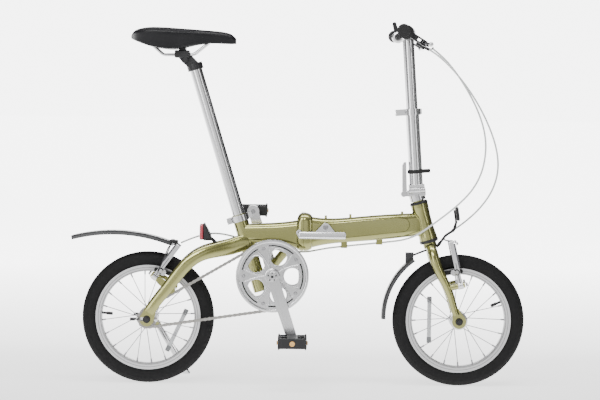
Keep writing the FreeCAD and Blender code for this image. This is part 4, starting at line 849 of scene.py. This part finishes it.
def make_panel_edge_shade():
    """Thin dark line round the long recessed panel in each side of the front beam, painted as the
    shade at the recess's edge.
    """
    mold = Mold("panel_edge_shade")
    beam = BVHTree.FromObject(NODES["front_beam"], bpy.context.evaluated_depsgraph_get())
    ends = ((88, 390.5, 19), (262, 409.5, 18))
    lean = math.atan2(ends[1][1] - ends[0][1], ends[1][0] - ends[0][0])
    for side in (-1, 1):
        line = []
        for (x, z, r), start in zip(ends, (90, -90)):
            for n in range(19):
                t = lean + math.radians(start + 10 * n)
                line.append(Vector((x + r * math.cos(t), side * 22.0, z + r * math.sin(t))) * MM)
        rings = []
        for n, point in enumerate(line):
            hit = beam.ray_cast(point + Vector((0, side * 0.02, 0)), Vector((0, -side, 0)))[0]
            ahead = (line[(n + 1) % len(line)] - line[n - 1]).normalized()
            aside = ahead.cross(Vector((0, 1, 0)))
            rings.append(round_ring(hit or point, aside, Vector((0, 1, 0)), 0.75 * MM, 8))
        # the dark line is painted shade along the panel's edge
        mold.skin(rings, "painted_panel_shade", wrap=True)
    mold.make("front_frame", slot="frame_paint")


def arc(x, z, radius, degrees):
    return shifted([polar(radius, t) for t in degrees], x, z)


def in_metres(outline):
    return [(x * MM, z * MM) for x, z in outline]


def latch_bar(nose, tail, low, high, middle_y):
    """Rings of the latch's square-edged handle, with a flat along its outer side."""
    rings = []
    for share, size in ((0.0, 0.80), (0.012, 0.94), (0.03, 1.0), (0.97, 1.0), (0.988, 0.94),
                        (1.0, 0.80)):
        x = mix(nose, tail, share)
        ring = []
        for t in turns(36):
            c, d = squared(t, 0.5, 0.5)
            y = middle_y + 4.8 * size * c
            if math.cos(t) < -0.6 and abs(math.sin(t)) < 0.35:
                y += 1.5
            ring.append(Vector((x, y, (low + high) / 2 + (high - low) / 2 * size * d)) * MM)
        rings.append(ring)
    return rings


def make_latch():
    """Over-centre latch: a round-edged handle on a hooked, triangular side plate."""
    low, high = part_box("main_latch")
    nose, tail = low.x / MM, high.x / MM
    pivot = joint_at("main_latch_turn")
    px, pz = pivot.x / MM, pivot.z / MM
    ridge = pz - 12.5
    thick, bevel = 4.4 * MM, 0.0006
    place = facing(Vector((0, pivot.y - 4.2 * MM, 0)), (0, -1, 0))
    web = [(px - 27, ridge), (px - 9.5, pz + 5.5), *arc(px, pz, 11.0, range(150, 29, -12)),
           (px + 24, ridge)]
    hole = shifted(circle(4.3 * MM, 24), pivot.x, pivot.z)
    hook = [(nose + 20, ridge - 1), (nose + 14, ridge - 2),
            *arc(nose + 7, 388, 7, range(-60, 229, 24)), (nose + 5, ridge - 12),
            (nose + 20, ridge - 12)]
    mold = Mold("latch_handle")
    cut_plate(mold, [in_metres(web), hole], thick, place, "bright_alloy", bevel)
    cut_plate(mold, [in_metres(hook)], thick, place, "bright_alloy", bevel)
    handle = latch_bar(nose + 6, tail, ridge - 17.0, ridge + 1.0, pivot.y / MM - 6.5)
    mold.skin(handle, "bright_alloy")
    mold.make("main_latch", "main_latch", slot="satin_alloy", sharp=45)


def spoke_reflector(end, centre, angle, radius):
    """Bar reflector across the spokes: a prismatic lens held by two grey clips."""
    spot = in_plane(centre, radius, angle)
    along_bar = Vector((-math.sin(angle), 0, math.cos(angle)))
    across = Vector((math.cos(angle), 0, math.sin(angle)))
    mold = Mold(end + "_spoke_reflector")
    half = 59.0
    ribs = 24

    def bar(spans, half_w, half_t, look):
        rings = []
        for place, size in spans:
            ring = []
            for t in turns(20):
                c, d = squared(t, 0.35, 0.5)
                ring.append(spot + (along_bar * place + across * half_w * size * c
                                    + Vector((0, half_t * size * d, 0))) * MM)
            rings.append(ring)
        mold.skin(rings, look)

    lens_bar = [(-half + 12, 1.0)]
    for n in range(ribs):
        at = -half + 13 + (2 * half - 26) * n / ribs
        lens_bar += [(at, 1.0), (at + 1.4, 1.0), (at + 2.0, 0.9), (at + 3.2, 0.9)]
    bar(lens_bar + [(half - 12, 1.0)], 5.6, 2.2, "clear_lens")
    for side in (-1, 1):
        bar([(side * (half - 15), 0.9), (side * (half - 14), 1.0), (side * (half - 1.5), 1.0),
             (side * half, 0.8)], 6.0, 2.6, "reflector_clip")
    return mold


# ---- saddle
# share of length from the tail, half-width, crown height, edge height, lower edge (mm)
SADDLE_SHAPE = [(0.000, 20, 880, 876, 872), (0.025, 44, 889, 882, 868),
                (0.08, 64, 896, 886, 862), (0.18, 75, 900.5, 888, 853),
                (0.32, 76, 900.5, 886, 847), (0.42, 68, 899, 884, 846.5),
                (0.52, 52, 897.5, 883, 851), (0.63, 36, 896, 882, 857.5),
                (0.76, 26.5, 893.5, 880, 861.5), (0.88, 22, 890, 877, 861),
                (0.955, 18, 884.5, 872, 860.5), (1.0, 9, 874, 866, 861)]
SADDLE_STATIONS = [n / 72 for n in range(73)]
# the top panel's part of each half ring, and its width as a part of the saddle's
TOP_PART = 0.72
TOP_WIDTH = 0.985


def saddle_top(half, crown, edge, s):
    """y and z in mm on the top panel, s going from 0 on the ridge to 1 at the seam."""
    y = half * math.sin(s * math.pi / 2 * 0.96) / math.sin(math.pi / 2 * 0.96) * TOP_WIDTH
    return y, edge + (crown - edge) * (1 - s ** 2.3)


def saddle_side(half, edge, lower, s):
    """y and z in mm on the side panel, s going from 0 at the seam to 1 at the lower edge."""
    bulge = math.sin(s * math.pi)
    y = half * (TOP_WIDTH + 0.015 * bulge) * (1 - 0.16 * s ** 1.6 - 0.05 * bulge)
    return y, edge + (lower - edge) * s


def saddle_ring(x, share, half, crown, edge, lower):
    """Section of the saddle square to X: the cover, then the rolled edge and the underside."""
    around = 48
    channel = 3.4 * math.exp(-((share - 0.42) / 0.30) ** 4)
    ring = []
    for n in range(around + 1):
        u = -1 + 2 * n / around
        if abs(u) < TOP_PART:
            s = abs(u) / TOP_PART
            y, z = saddle_top(half, crown, edge, s)
            z -= channel * math.exp(-(y / 8.5) ** 2)
            z -= 0.7 * math.exp(-((s - 0.66) / 0.035) ** 2)
        else:
            y, z = saddle_side(half, edge, lower, (abs(u) - TOP_PART) / (1 - TOP_PART))
        ring.append(Vector((x, math.copysign(y, u) * MM, z * MM)))
    for y_share, lift in ((0.93, -0.6), (0.84, 1.5), (0.5, 5.0), (0.0, 6.5),
                          (-0.5, 5.0), (-0.84, 1.5), (-0.93, -0.6)):
        ring.append(Vector((x, half * 0.84 * y_share * MM, (lower + lift) * MM)))
    return ring


def add_stitch(mold, a, b):
    """One stitch that dips into the cover at both ends."""
    down, up = Vector((0, 0, 0.5 * MM)), Vector((0, 0, 0.15 * MM))
    mold.tube([a - down, a.lerp(b, 0.15), a.lerp(b, 0.5) + up, a.lerp(b, 0.75),
               a.lerp(b, 0.85) - down], 0.35 * MM, "thread", sides=6)


def make_saddle():
    """Padded saddle: crowned top with a relief channel, side panels, seams and stitching."""
    low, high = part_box("saddle")
    rows = [(low.x + (high.x - low.x) * share, share, *row)
            for share, row in zip(SADDLE_STATIONS, along(SADDLE_SHAPE, SADDLE_STATIONS))]
    mold = Mold("saddle_cushion")
    mold.skin([saddle_ring(*row) for row in rows], "saddle_cover")
    piece = mold.make("seatpost", "saddle", slot="saddle_cover", sharp=60)
    thread = Mold("saddle_stitching")
    seam = 0.725
    stitch = 3.2 * MM
    for side in (-1, 1):
        line = []
        for x, share, half, crown, edge, _ in rows:
            if 0.06 < share < 0.93:
                y, z = saddle_top(half, crown, edge, seam)
                line.append(Vector((x, side * y * MM, (z + 0.25) * MM)))
        walk = smooth_line(line, 0.0005)
        start = 0
        for n in range(len(walk)):
            if (walk[n] - walk[start]).length > stitch:
                add_stitch(thread, walk[start], walk[n])
                start = n
    thread.make("seatpost", slot="saddle_cover")


# ---- bars
BAR_LOW, BAR_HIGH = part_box("handlebar")
BAR_Z = (BAR_LOW.z + BAR_HIGH.z) / 2
BAR_X = BAR_HIGH.x - 12.7 * MM
# where the bar starts to sweep back, its half-width, and how far its ends lie back
BAR_BEND, BAR_END, BAR_SWEEP = 45 * MM, 250 * MM, 23 * MM
GRIP_START = 128 * MM


def bar_point(y):
    """Centre line of the swept bar at a given y."""
    share = (abs(y) - BAR_BEND) / (BAR_END - BAR_BEND)
    return Vector((BAR_X - BAR_SWEEP * share, y, BAR_Z))


def make_grips():
    """Collared and ribbed grips; the right one stands for the CAD node of both."""
    for side, word in SIDES:
        inner, outer = bar_point(side * GRIP_START), bar_point(side * BAR_END)
        axis = (outer - inner).normalized()
        long = (outer - inner).length / MM
        profile = [(11.2, 0.0), (17.0, 0.0), (17.4, 0.6), (17.4, 2.8), (16.6, 3.6), (14.6, 4.6)]
        at = 5.2
        rib_pitch = 3.3
        while at < long - 9:
            profile += [(14.7, at), (15.35, at + 0.5), (15.45, at + 1.6), (14.8, at + 2.1),
                        (14.45, at + 2.6)]
            at += rib_pitch
        profile += [(14.6, long - 6.0), (15.9, long - 4.8), (16.0, long - 1.4), (15.2, long - 0.4),
                    (13.0, long), (9.0, long), (8.6, long - 0.8), (0.0, long - 0.8)]
        mold = Mold(word + "_grip")
        mold.lathe(profile, inner, axis, "grip_rubber", sides=40)
        mold.make("bars", *(["grips"] if side < 0 else []), slot="grip_rubber", sharp=55)


# ---- brake cables
# middle lines in mm, from each lever's mount to its brake
REAR_ROUTE = [(321, -70, 858), (344, -52, 843), (377, -38, 812), (414, -30, 762), (446, -28, 704),
              (465, -30, 650), (470, -32, 600), (461, -34, 545), (436, -36, 497), (395, -37, 456),
              (345, -37, 417), (300, -32, 384), (268, -16, 371), (236, 0, 364.7), (84, 0, 348.5),
              (50, 9, 341), (13, 24, 333), (-40, 34, 338), (-105, 38, 350), (-165, 37, 372),
              (-215, 32, 381), (-262, 27, 371), (-299.5, 27, 354)]
FRONT_ROUTE = [(321, 70, 858), (346, 52, 843), (384, 38, 808), (424, 30, 760), (460, 28, 704),
               (487, 30, 648), (504, 32, 596), (508, 33, 545), (494, 33, 495), (463, 33, 450),
               (425, 32, 415), (392, 28, 392), (377, 26, 383)]


def cable_span(name, line, follow, replaced):
    """One stretch of a cable; follow is the body it rides on, or the (body, body) of a joint it
    crosses, and then it rides on none.
    """
    mold = Mold(name)
    mold.tube(line, 2.4 * MM, "cable_housing", sides=14)
    if isinstance(follow, str):
        mold.make(follow, *replaced, slot="cable_housing")
        return
    piece = mold.make(None, slot="cable_housing")
    tuple(line[0])
    tuple(line[-1])
    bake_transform(piece)


def split_line(line, tests):
    """Cut a line of points where each test first holds; neighbours share a point."""
    spans = []
    start = 0
    for test in tests:
        stop = next(i for i in range(start, len(line)) if test(line[i]))
        spans.append(line[start:stop + 1])
        start = stop
    return spans + [line[start:]]


def make_cable(end, route, tests, follows, stands_for):
    """A cable in stretches, split by the tests; the stretch stands_for replaces the CAD cable."""
    spans = split_line(smooth_line(metres(route)), tests)
    for span, letter, follow in zip(spans, "abcdef", follows):
        cable_span(end + "_cable_" + letter, span, follow,
                   [end + "_brake_cable"] if letter == stands_for else [])


def make_adjuster(end, route):
    """Barrel adjuster where a cable leaves its lever's mount."""
    start, after = metres(route[:2])
    mold = Mold(end + "_cable_adjuster")
    profile = [(2.5, -1.0), (4.3, -1.0), (4.6, 0.0), (4.6, 5.0), (3.9, 5.6), (3.9, 6.6),
               (4.4, 7.2), (4.4, 11.0), (3.3, 12.0), (2.5, 12.0)]
    mold.lathe(profile, start, (after - start).normalized(), "black_plastic", 20)
    mold.make("bars", slot="black_plastic")


def make_cables():
    make_cable("rear", REAR_ROUTE,
               [lambda p: p.z < 0.775, lambda p: p.z < 0.500, lambda p: p.x < 0.300,
                lambda p: p.x < 0.095, lambda p: p.x < -0.06],
               [("bars", "handlepost"), ("handlepost", "fork"), ("fork", "front_frame"),
                "front_frame", ("front_frame", "rear_frame"), "rear_frame"], "d")
    make_cable("front", FRONT_ROUTE, [lambda p: p.z < 0.775, lambda p: p.z < 0.440],
               [("bars", "handlepost"), ("handlepost", "fork"), "fork"], "c")
    make_adjuster("rear", REAR_ROUTE)
    make_adjuster("front", FRONT_ROUTE)


# ---- small fittings
def make_strap():
    """Rubber strap round the lower post, its loose end held out in front."""
    height = 0.5435
    top = Vector((BAR_X, 0, BAR_Z))
    middle = top + POST_UP * ((height - top.z) / POST_UP.z)
    forward = POST_UP.cross(Vector((0, 1, 0))).normalized()
    if forward.x < 0:
        forward = -forward
    aside = Vector((0, 1, 0))
    line = []
    for n in range(25):
        t = math.radians(mix(52, 308, n / 24))
        line.append(middle + (forward * math.cos(t) + aside * math.sin(t)) * 18.6 * MM)
    for ahead, y in ((26, -5.2), (33, -4.4), (36, -1.8), (36, 1.8), (33, 4.4), (26, 5.2)):
        line.append(middle + forward * ahead * MM + aside * y * MM)
    mold = Mold("post_strap")
    rings = []
    for n, point in enumerate(line):
        ahead = (line[(n + 1) % len(line)] - line[n - 1]).normalized()
        out = ahead.cross(POST_UP).normalized()
        rings.append([point + out * a * 1.6 * MM + POST_UP * b * 4.8 * MM
                      for a, b in (squared(t, 0.6, 0.6) for t in turns(12))])
    mold.skin(rings, "grip_rubber", wrap=True)
    mold.make("handlepost", slot="grip_rubber", sharp=60)


def add_wedge(mold, levels, half_y, power, look):
    """Upright form; each level is (z, rear x, front x, share of half_y), in millimetres."""
    rings = []
    for z, rear, front, size in levels:
        ring = []
        for t in turns(40):
            c, d = squared(t, power, power)
            x = (rear + front) / 2 + (front - rear) / 2 * c
            ring.append(Vector((x, half_y * size * d, z)) * MM)
        rings.append(ring)
    mold.skin(rings, look)


def make_rear_lamp():
    """Rear reflector in its wedge-shaped hood, with its strap, the fender's clip and wires."""
    mold = Mold("rear_reflector_set")
    red = [(365.6, -248, -241, 0.90), (367, -250, -240, 0.97), (372, -251, -239.6, 1.0),
           (396, -250.6, -239.6, 1.0), (403, -249.6, -239.4, 0.95), (406, -247.6, -240, 0.84)]
    hood = [(364, -240, -220.5, 0.93), (366, -241, -218.6, 1.0), (380, -241, -222.5, 1.0),
            (394, -241, -230, 1.0), (403, -241, -235.4, 0.96), (407, -240.4, -237, 0.86)]
    add_wedge(mold, red, 21.4, 0.45, "red_lens")
    add_wedge(mold, hood, 22.4, 0.35, "black_plastic")
    strap = smooth_line(metres([(-229, 0, 372), (-216, 0, 366), (-206, 0, 352), (-196, 0, 342)]))
    mold.tube(strap, 4.2 * MM, "black_plastic", 16)
    clip = [rounded_ring(-331 + 26 * share, 10.4 * size, 357 - 6.4 * size, 357 + 6.4 * size,
                         3.0, 6)
            for share, size in ((0.0, 0.82), (0.08, 0.96), (0.2, 1.0), (0.8, 1.0), (0.92, 0.96),
                                (1.0, 0.82))]
    mold.skin(clip, "black_plastic")
    screw = [(0, 5.5), (4.6, 5.5), (4.6, 8.0), (3.8, 8.8), (2.0, 8.8), (1.8, 7.8), (0, 7.8)]
    mold.lathe(screw, Vector((-318, 0, 357)) * MM, (0, 0, 1), "steel", 20)
    for side in (-1, 1):
        wire = [(-325, side * 7, 349), (-326, side * 26, 348.5), (-327.5, side * 48, 345.6),
                (-329, side * 52.5, 341), (-340, side * 52.8, 314), (-352, side * 53, 285)]
        mold.tube(smooth_line(metres(wire), 0.003), 1.6 * MM, "black_steel", 10)
    mold.make("rear_frame", "rear_brackets", "rear_reflector", slot="red_lens", sharp=45)


# Each brake: its arms' length, the pads' height above the pivots, the pads' place along the
# pivots' axis, and the side that the arms stand out on.
BRAKES = {"front": (112.0, 35.0, -3.0, 1), "rear": (97.0, 20.5, 3.0, -1)}


def brake_places(end):
    """Direction of a brake's pivots, and a function from (along them, y, up) in mm to a place."""
    hinge = end + "_brake_left_close"
    ahead = joint_axis(hinge)
    up = Vector((-ahead.z, 0, ahead.x))
    base = joint_at(hinge)
    base.y = 0

    def spot(x, y, z):
        return base + (ahead * x + Vector((0, y, 0)) + up * z) * MM

    return ahead, spot


def make_arm_fittings(end, side, word):
    """Pivot bolt, pad washer and nut, wire clamp and spring of one brake arm, with dark strips
    painted as the shade of grooves along it.
    """
    top, pad_up, pad_at, way = BRAKES[end]
    ahead, spot = brake_places(end)
    out = Vector((0, side, 0))
    mold = Mold(end + "_brake_fittings_" + word)
    bolt = [(0, 13.2), (7.0, 13.2), (7.0, 14.2), (4.6, 14.6), (4.6, 17.6), (3.8, 18.2),
            (2.2, 18.2), (2.0, 16.4), (0, 16.4)]
    washer = [(3.2, 42.8), (8.0, 42.8), (8.0, 44.2), (3.2, 44.2)]
    nut = [(3.0, 44.2), (5.9, 44.2), (5.9, 47.6), (5.1, 48.4), (2.6, 48.4), (2.4, 47.4),
           (0, 47.4)]
    clamp = [(0, 11.6), (5.2, 11.6), (5.2, 13.0), (3.9, 13.2), (3.9, 16.0), (3.2, 16.6),
             (0, 16.6)]
    pad = spot(pad_at, 0, pad_up)
    mold.lathe(bolt, spot(0, side * 40, 0), ahead * way, "steel", 24)
    mold.lathe(washer, pad, out, "black_steel", 28, closed=True)
    mold.lathe(nut, pad, out, "chrome", 6)
    mold.lathe(clamp, spot(0, side * 28.5, top - 7), ahead * way, "steel", 6)
    spring = [spot(way * x, side * y, z) for x, y, z in
              ((0.4, 47.6, 4), (-0.6, 46, 14), (-0.4, 40, 48), (-0.2, 38.6, 58))]
    mold.tube(smooth_line(spring, 0.002), 0.8 * MM, "black_steel", 8)
    # dark strips standing a little proud of the arm's face, painted shade of grooves
    for low_z, low_y, high_z, high_y in ((46, 39.9, 59.5, 38.1), (61, 37.95, top - 6, 31.9)):
        corners = [spot(way * x, side * (y + 0.25), z) for x, y, z in
                   ((4.6, low_y, low_z), (9.2, low_y, low_z), (9.2, high_y, high_z),
                    (4.6, high_y, high_z))]
        mold.skin([corners, [p - out * 1.2 * MM for p in corners]], "groove_shade")
    mold.make(end + "_brake_arm_" + word, slot="steel", sharp=40)


def make_brake_fittings():
    """Fittings of the brake arms, and the wire with its boot between each pair."""
    boot = [(1.2, -15), (2.8, -14), (2.2, -10), (2.9, -6), (2.2, -2), (2.9, 2), (2.2, 6),
            (2.9, 10), (2.4, 13), (1.2, 14)]
    for end, body in (("front", "fork"), ("rear", "rear_frame")):
        for side, word in SIDES:
            make_arm_fittings(end, side, word)
        top, *_, way = BRAKES[end]
        spot = brake_places(end)[1]
        mold = Mold(end + "_brake_wire")
        mold.tube([spot(way * 6, y, top - 3) for y in (-27, 27)], 0.9 * MM, "steel", 8)
        mold.lathe(boot, spot(way * 6, 0, top - 3), (0, 1, 0), "grip_rubber", 16)
        mold.make(body, slot="steel")


def make_front_noodle():
    """Bent pipe that leads the front cable from its housing into the left arm's top."""
    bend = metres([(377, 26, 383), (371.2, 25.6, 379.5), (370.4, 25.6, 371), (376.5, 26, 366.6),
                   (389, 27, 366.4)])
    mold = Mold("front_cable_noodle")
    mold.tube(smooth_line(bend, 0.001), 1.9 * MM, "steel", 14)
    mold.make("fork", slot="steel")


def make_reflector_arm():
    """Moulded bracket from the fork's crown to the front reflector."""
    route = metres([(354, 0, 356), (363, 0, 369), (374, 0, 382), (386, 0, 390), (394.5, 0, 397),
                    (398.4, 0, 406), (399.4, 0, 415), (397.4, 0, 428), (395.6, 0, 440),
                    (394.6, 0, 447)])
    line = smooth_line(route, 0.002)
    radii = []
    for n in range(len(line)):
        share = n / (len(line) - 1)
        knob = math.exp(-((share - 0.46) / 0.05) ** 2)
        radii.append((2.6 + 1.7 * knob + (1.6 if share < 0.08 else 0.0)) * MM)
    mold = Mold("front_reflector_bracket")
    mold.tube(line, radii, "black_plastic", 16)
    mold.make("fork", slot="black_plastic")


def make_rim_groove_shade():
    """Dark rings on the brake track on both sides of each rim, painted as the shade of wear
    grooves.
    """
    for end, centre in (("rear", REAR_AXLE), ("front", FRONT_AXLE)):
        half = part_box(end + "_rim")[1].y / MM
        mold = Mold(end + "_rim_groove_shade")
        for side in (-1, 1):
            for radius in (126.4, 120.4):
                # a low dark ridge, painted shade of a groove
                ridge = [(radius - 0.45, half - 0.3), (radius, half + 0.25),
                         (radius + 0.45, half - 0.3)]
                mold.lathe(ridge, centre, (0, side, 0), "groove_shade", 144, closed=True)
        mold.make(end + "_wheel", slot="satin_alloy")


def make_wheel_fittings():
    """Spoke reflector and valve of each wheel."""
    for end, centre, bar_angle, bar_r, valve_angle in (
            ("rear", REAR_AXLE, -25, 80, 175.5), ("front", FRONT_AXLE, 180, 73, 24)):
        mold = spoke_reflector(end, centre, math.radians(bar_angle), bar_r * MM)
        inward = -in_plane(Vector((0, 0, 0)), 1.0, math.radians(valve_angle))
        stem = [(0, -118), (3.1, -118), (3.1, -111), (3.0, -106), (4.1, -105), (4.1, -103),
                (3.4, -102.4), (4.0, -101.8), (4.0, -93), (3.4, -91), (1.4, -90.4), (0, -90.4)]
        mold.lathe(stem, centre, inward, "black_plastic", 20)
        mold.make(end + "_wheel", end + "_wheel_fittings", slot="black_plastic", sharp=40)


def make_crank_caps():
    """Slotted caps over the crank bolts."""
    for side, word in SIDES:
        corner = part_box(word + "_crank")[0 if side < 0 else 1]
        at = Vector((CRANK.x, corner.y, CRANK.z))
        out = Vector((0, side, 0))
        mold = Mold(word + "_crank_cap")
        profile = [(0, -1.0), (12.6, -1.0), (12.6, 0.5), (12.0, 1.1), (8.4, 1.4), (8.0, 0.8),
                   (4.4, 0.8), (4.0, 1.5), (0, 1.7)]
        mold.lathe(profile, at, out, "satin_alloy", 36)
        for n in range(5):
            t = math.pi / 2 + 2 * math.pi / 5 * n
            spot = in_plane(at, 9.9 * MM, t)
            mold.lathe([(2.0, 0.2), (2.0, 1.45), (0, 1.5)], spot, out, "black_plastic", 12)
        mold.lathe([(3.8, 1.5), (3.6, 1.9), (0, 1.9)], at, out, "black_plastic", 6)
        mold.make("crankset", slot="satin_alloy")


def edge_sides(mesh, keys, good):
    """For each edge, as a pair of corner keys, whether each face beside it is all good."""
    sides = {}
    for polygon in mesh.polygons:
        inside = all(keys[v] in good for v in polygon.vertices)
        ring = list(polygon.vertices)
        for a, b in zip(ring, ring[1:] + ring[:1]):
            sides.setdefault(tuple(sorted((keys[a], keys[b]))), []).append(inside)
    return sides


def walk_loops(joined):
    """Chains of keys from a table of neighbours, each with whether it closes."""
    left = set(joined)
    while left:
        start = left.pop()
        loop = [start]
        while True:
            ahead = [k for k in joined[loop[-1]] if k in left]
            if not ahead:
                break
            left.discard(ahead[0])
            loop.append(ahead[0])
        if len(loop) > 6:
            yield loop, start in joined[loop[-1]]


def bead_loops(node, test):
    """Borders of the faces of a CAD node whose corners all pass a test."""
    mesh = NODES[node].data
    keys = [tuple(round(c, 5) for c in v.co) for v in mesh.vertices]
    spots = {key: vertex.co.copy() for key, vertex in zip(keys, mesh.vertices)}
    good = {key for key, point in spots.items() if test(point)}
    joined = {}
    for (a, b), flags in edge_sides(mesh, keys, good).items():
        if a in good and b in good and a != b and True in flags and False in flags:
            joined.setdefault(a, []).append(b)
            joined.setdefault(b, []).append(a)
    return [([spots[k] for k in loop], closed) for loop, closed in walk_loops(joined)]


def weld(name, node, body, foot, axis, radii_mm):
    """Stacked-coin weld bead where a tube's end meets another tube's surface."""
    bead, ripple, coin = 1.65, 0.35, 3.2
    point_step = 0.8
    shortest = 30

    def on_tube(point):
        away = point - foot
        distance = (away - axis * away.dot(axis)).length / MM
        return radii_mm[0] < distance < radii_mm[1]

    mold = Mold(name)
    for loop, closed in bead_loops(node, on_tube):
        points = loop + loop[:1] if closed else loop
        lengths = measured(points)
        if lengths[-1] < shortest * MM:
            continue
        steps = int(lengths[-1] / (point_step * MM))
        radii = [(bead + ripple * abs(math.sin(math.pi * n * point_step / coin))) * MM
                 for n in range(steps + 1)]
        mold.tube(spaced(points, lengths, steps), radii, "frame_paint", sides=8)
    mold.make(body, slot="frame_paint", sharp=70)


# ---- looks of single solids
def dress_solids():
    def rail_or_clamp(middle):
        outside = middle.x < -316.5 or middle.x > -278.5
        is_rail = outside and abs(middle.y) > 8 and middle.z > 827
        return "bright_alloy" if is_rail else "black_steel"

    def block_or_reflector(low, high):
        return "black_plastic" if high.x - low.x > 40 else "amber_lens"

    def arm_or_pad(low, high):
        return "grip_rubber" if min(abs(low.y), abs(high.y)) < 20 else "bright_alloy"

    def bell_or_mount(low, high):
        return "chrome" if high.x < 260 else "black_plastic"

    def housing_or_lens(low, high):
        return "clear_lens" if 30 < high.z - low.z < 33 else "black_plastic"

    dress_faces("saddle_mount", rail_or_clamp)
    for _, side in SIDES:
        dress_parts(side + "_pedal", block_or_reflector)
        for end in ("rear", "front"):
            dress_parts(end + "_brake_arm_" + side, arm_or_pad)
    dress_parts("front_reflector", housing_or_lens)
    dress_parts("bar_fittings", bell_or_mount)


make_tyre("rear", REAR_AXLE)
make_tyre("front", FRONT_AXLE)
make_chain()
make_chainwheel()
make_rear_hinge()
make_front_hinge()
make_saddle()
make_grips()
make_cables()
make_strap()
make_crank_caps()
make_wheel_fittings()
make_latch()
make_panel_edge_shade()
make_rear_lamp()
make_rim_groove_shade()
make_brake_fittings()
make_front_noodle()
make_reflector_arm()
weld("weld_head_tube", "front_beam", "front_frame", STEER, STEER_UP, (20.2, 23.1))
dress_solids()


# ---- floor, lights and camera
def vector_math(look, operation, output):
    """A vector operation on the place that the look is read at."""
    node = look.nodes.new("ShaderNodeVectorMath")
    node.operation = operation
    look.links.new(look.place, node.inputs[0])
    return node.outputs[output]


def floor_glow(look):
    """Brighter behind the bicycle, and far away as bright as the world in that direction."""
    beside = 2.2
    fade_start, fade_end = 5.0, 22.0
    y = axis_of(look.tree, look.place, "Y")
    near = combine(look.tree, "ADD", look.ramp(y, -2.0, 0.8, 0.25, beside),
                   look.ramp(y, 0.5, 3.5, 0.0, BACKDROP - beside))
    heading = axis_of(look.tree, vector_math(look, "NORMALIZE", "Vector"), "Y")
    far = look.ramp(heading, *BACKDROP_EDGE, 0.0, BACKDROP)
    distance = vector_math(look, "LENGTH", "Value")
    near_share = look.ramp(distance, fade_start, fade_end, 1.0, 0.0)
    far_share = look.ramp(distance, fade_start, fade_end, 0.0, 1.0)
    return combine(look.tree, "ADD", combine(look.tree, "MULTIPLY", near, near_share),
                   combine(look.tree, "MULTIPLY", far, far_share))


def make_floor():
    """Pale flat floor that brightens behind the bicycle, as a lit studio backdrop does."""
    mesh = bpy.data.meshes.new("floor")
    reach = 60.0
    mesh.from_pydata([(-reach, -reach, 0), (reach, -reach, 0), (reach, reach, 0),
                      (-reach, reach, 0)], [], [(0, 1, 2, 3)])
    floor = bpy.data.objects.new("floor", mesh)
    bpy.context.scene.collection.objects.link(floor)
    look = Look("pale_floor", (0.62, 0.62, 0.62), 0.9, Specular_IOR_Level=0.1)
    look.mottle(0.8, 2, (0.59, 0.59, 0.59), 0.5)
    look.shader.inputs["Emission Color"].default_value = (1, 1, 1, 1)
    look.links.new(floor_glow(look), look.shader.inputs["Emission Strength"])
    mesh.materials.append(look.material)


def area_light(name, place, aim, size, power):
    data = bpy.data.lights.new(name, "AREA")
    data.shape = "RECTANGLE"
    data.size, data.size_y = size
    data.energy = power
    light = bpy.data.objects.new(name, data)
    light.location = place
    light.rotation_euler = (Vector(aim) - Vector(place)).to_track_quat("-Z", "Y").to_euler()
    bpy.context.scene.collection.objects.link(light)


def make_world():
    """White backdrop behind, darker room at the sides and pale ceiling."""
    world = bpy.data.worlds.new("studio")
    bpy.context.scene.world = world
    world.use_nodes = True
    tree = world.node_tree
    place = tree.nodes.new("ShaderNodeTexCoord").outputs["Generated"]
    y, z = axis_of(tree, place, "Y"), axis_of(tree, place, "Z")
    backdrop = map_range(tree, y, *BACKDROP_EDGE, 0.0, BACKDROP, smooth=True)
    room = map_range(tree, y, -1.0, 0.3, 0.30, 0.06, smooth=True)
    ceiling = map_range(tree, z, 0.5, 0.9, 0.0, 0.5, smooth=True)
    total = combine(tree, "ADD", combine(tree, "ADD", backdrop, room), ceiling)
    background = tree.nodes["Background"]
    background.inputs["Color"].default_value = (1, 1, 1, 1)
    tree.links.new(total, background.inputs["Strength"])


def make_lights():
    """Softboxes in front and overhead."""
    middle = (0, 0, 0.45)
    area_light("behind_camera", (0.0, -6.2, 1.1), (0, 0, 1.0), (4.6, 2.4), 32)
    area_light("left_softbox", (-2.3, -3.3, 1.2), (0, 0, 0.7), (1.5, 2.3), 44)
    area_light("key", (-0.9, -2.6, 2.4), middle, (2.2, 0.8), 58)
    area_light("side_strip", (2.3, -2.0, 1.1), middle, (0.35, 2.0), 10)
    area_light("overhead", (0.0, -0.5, 2.6), middle, (2.8, 0.5), 48)


def make_camera():
    """Level side view from the drive side, a little above and rolled by a hair."""
    data = bpy.data.cameras.new("camera")
    camera = bpy.data.objects.new("camera", data)
    bpy.context.scene.collection.objects.link(camera)
    distance, rise = 5.0, math.radians(3.0)
    aim = Vector((0.003, 0, 0.468))
    place = aim + Vector((0, -math.cos(rise), math.sin(rise))) * distance
    camera.location = place
    turn = (aim - place).to_track_quat("-Z", "Y")
    roll = Matrix.Rotation(math.radians(0.63), 4, "Z")
    camera.rotation_euler = (turn.to_matrix().to_4x4() @ roll).to_euler()
    sensor, view_width = 36.0, 1.520
    data.sensor_width = sensor
    data.lens = sensor * distance / view_width
    bpy.context.scene.camera = camera


make_floor()
make_world()
make_lights()
make_camera()
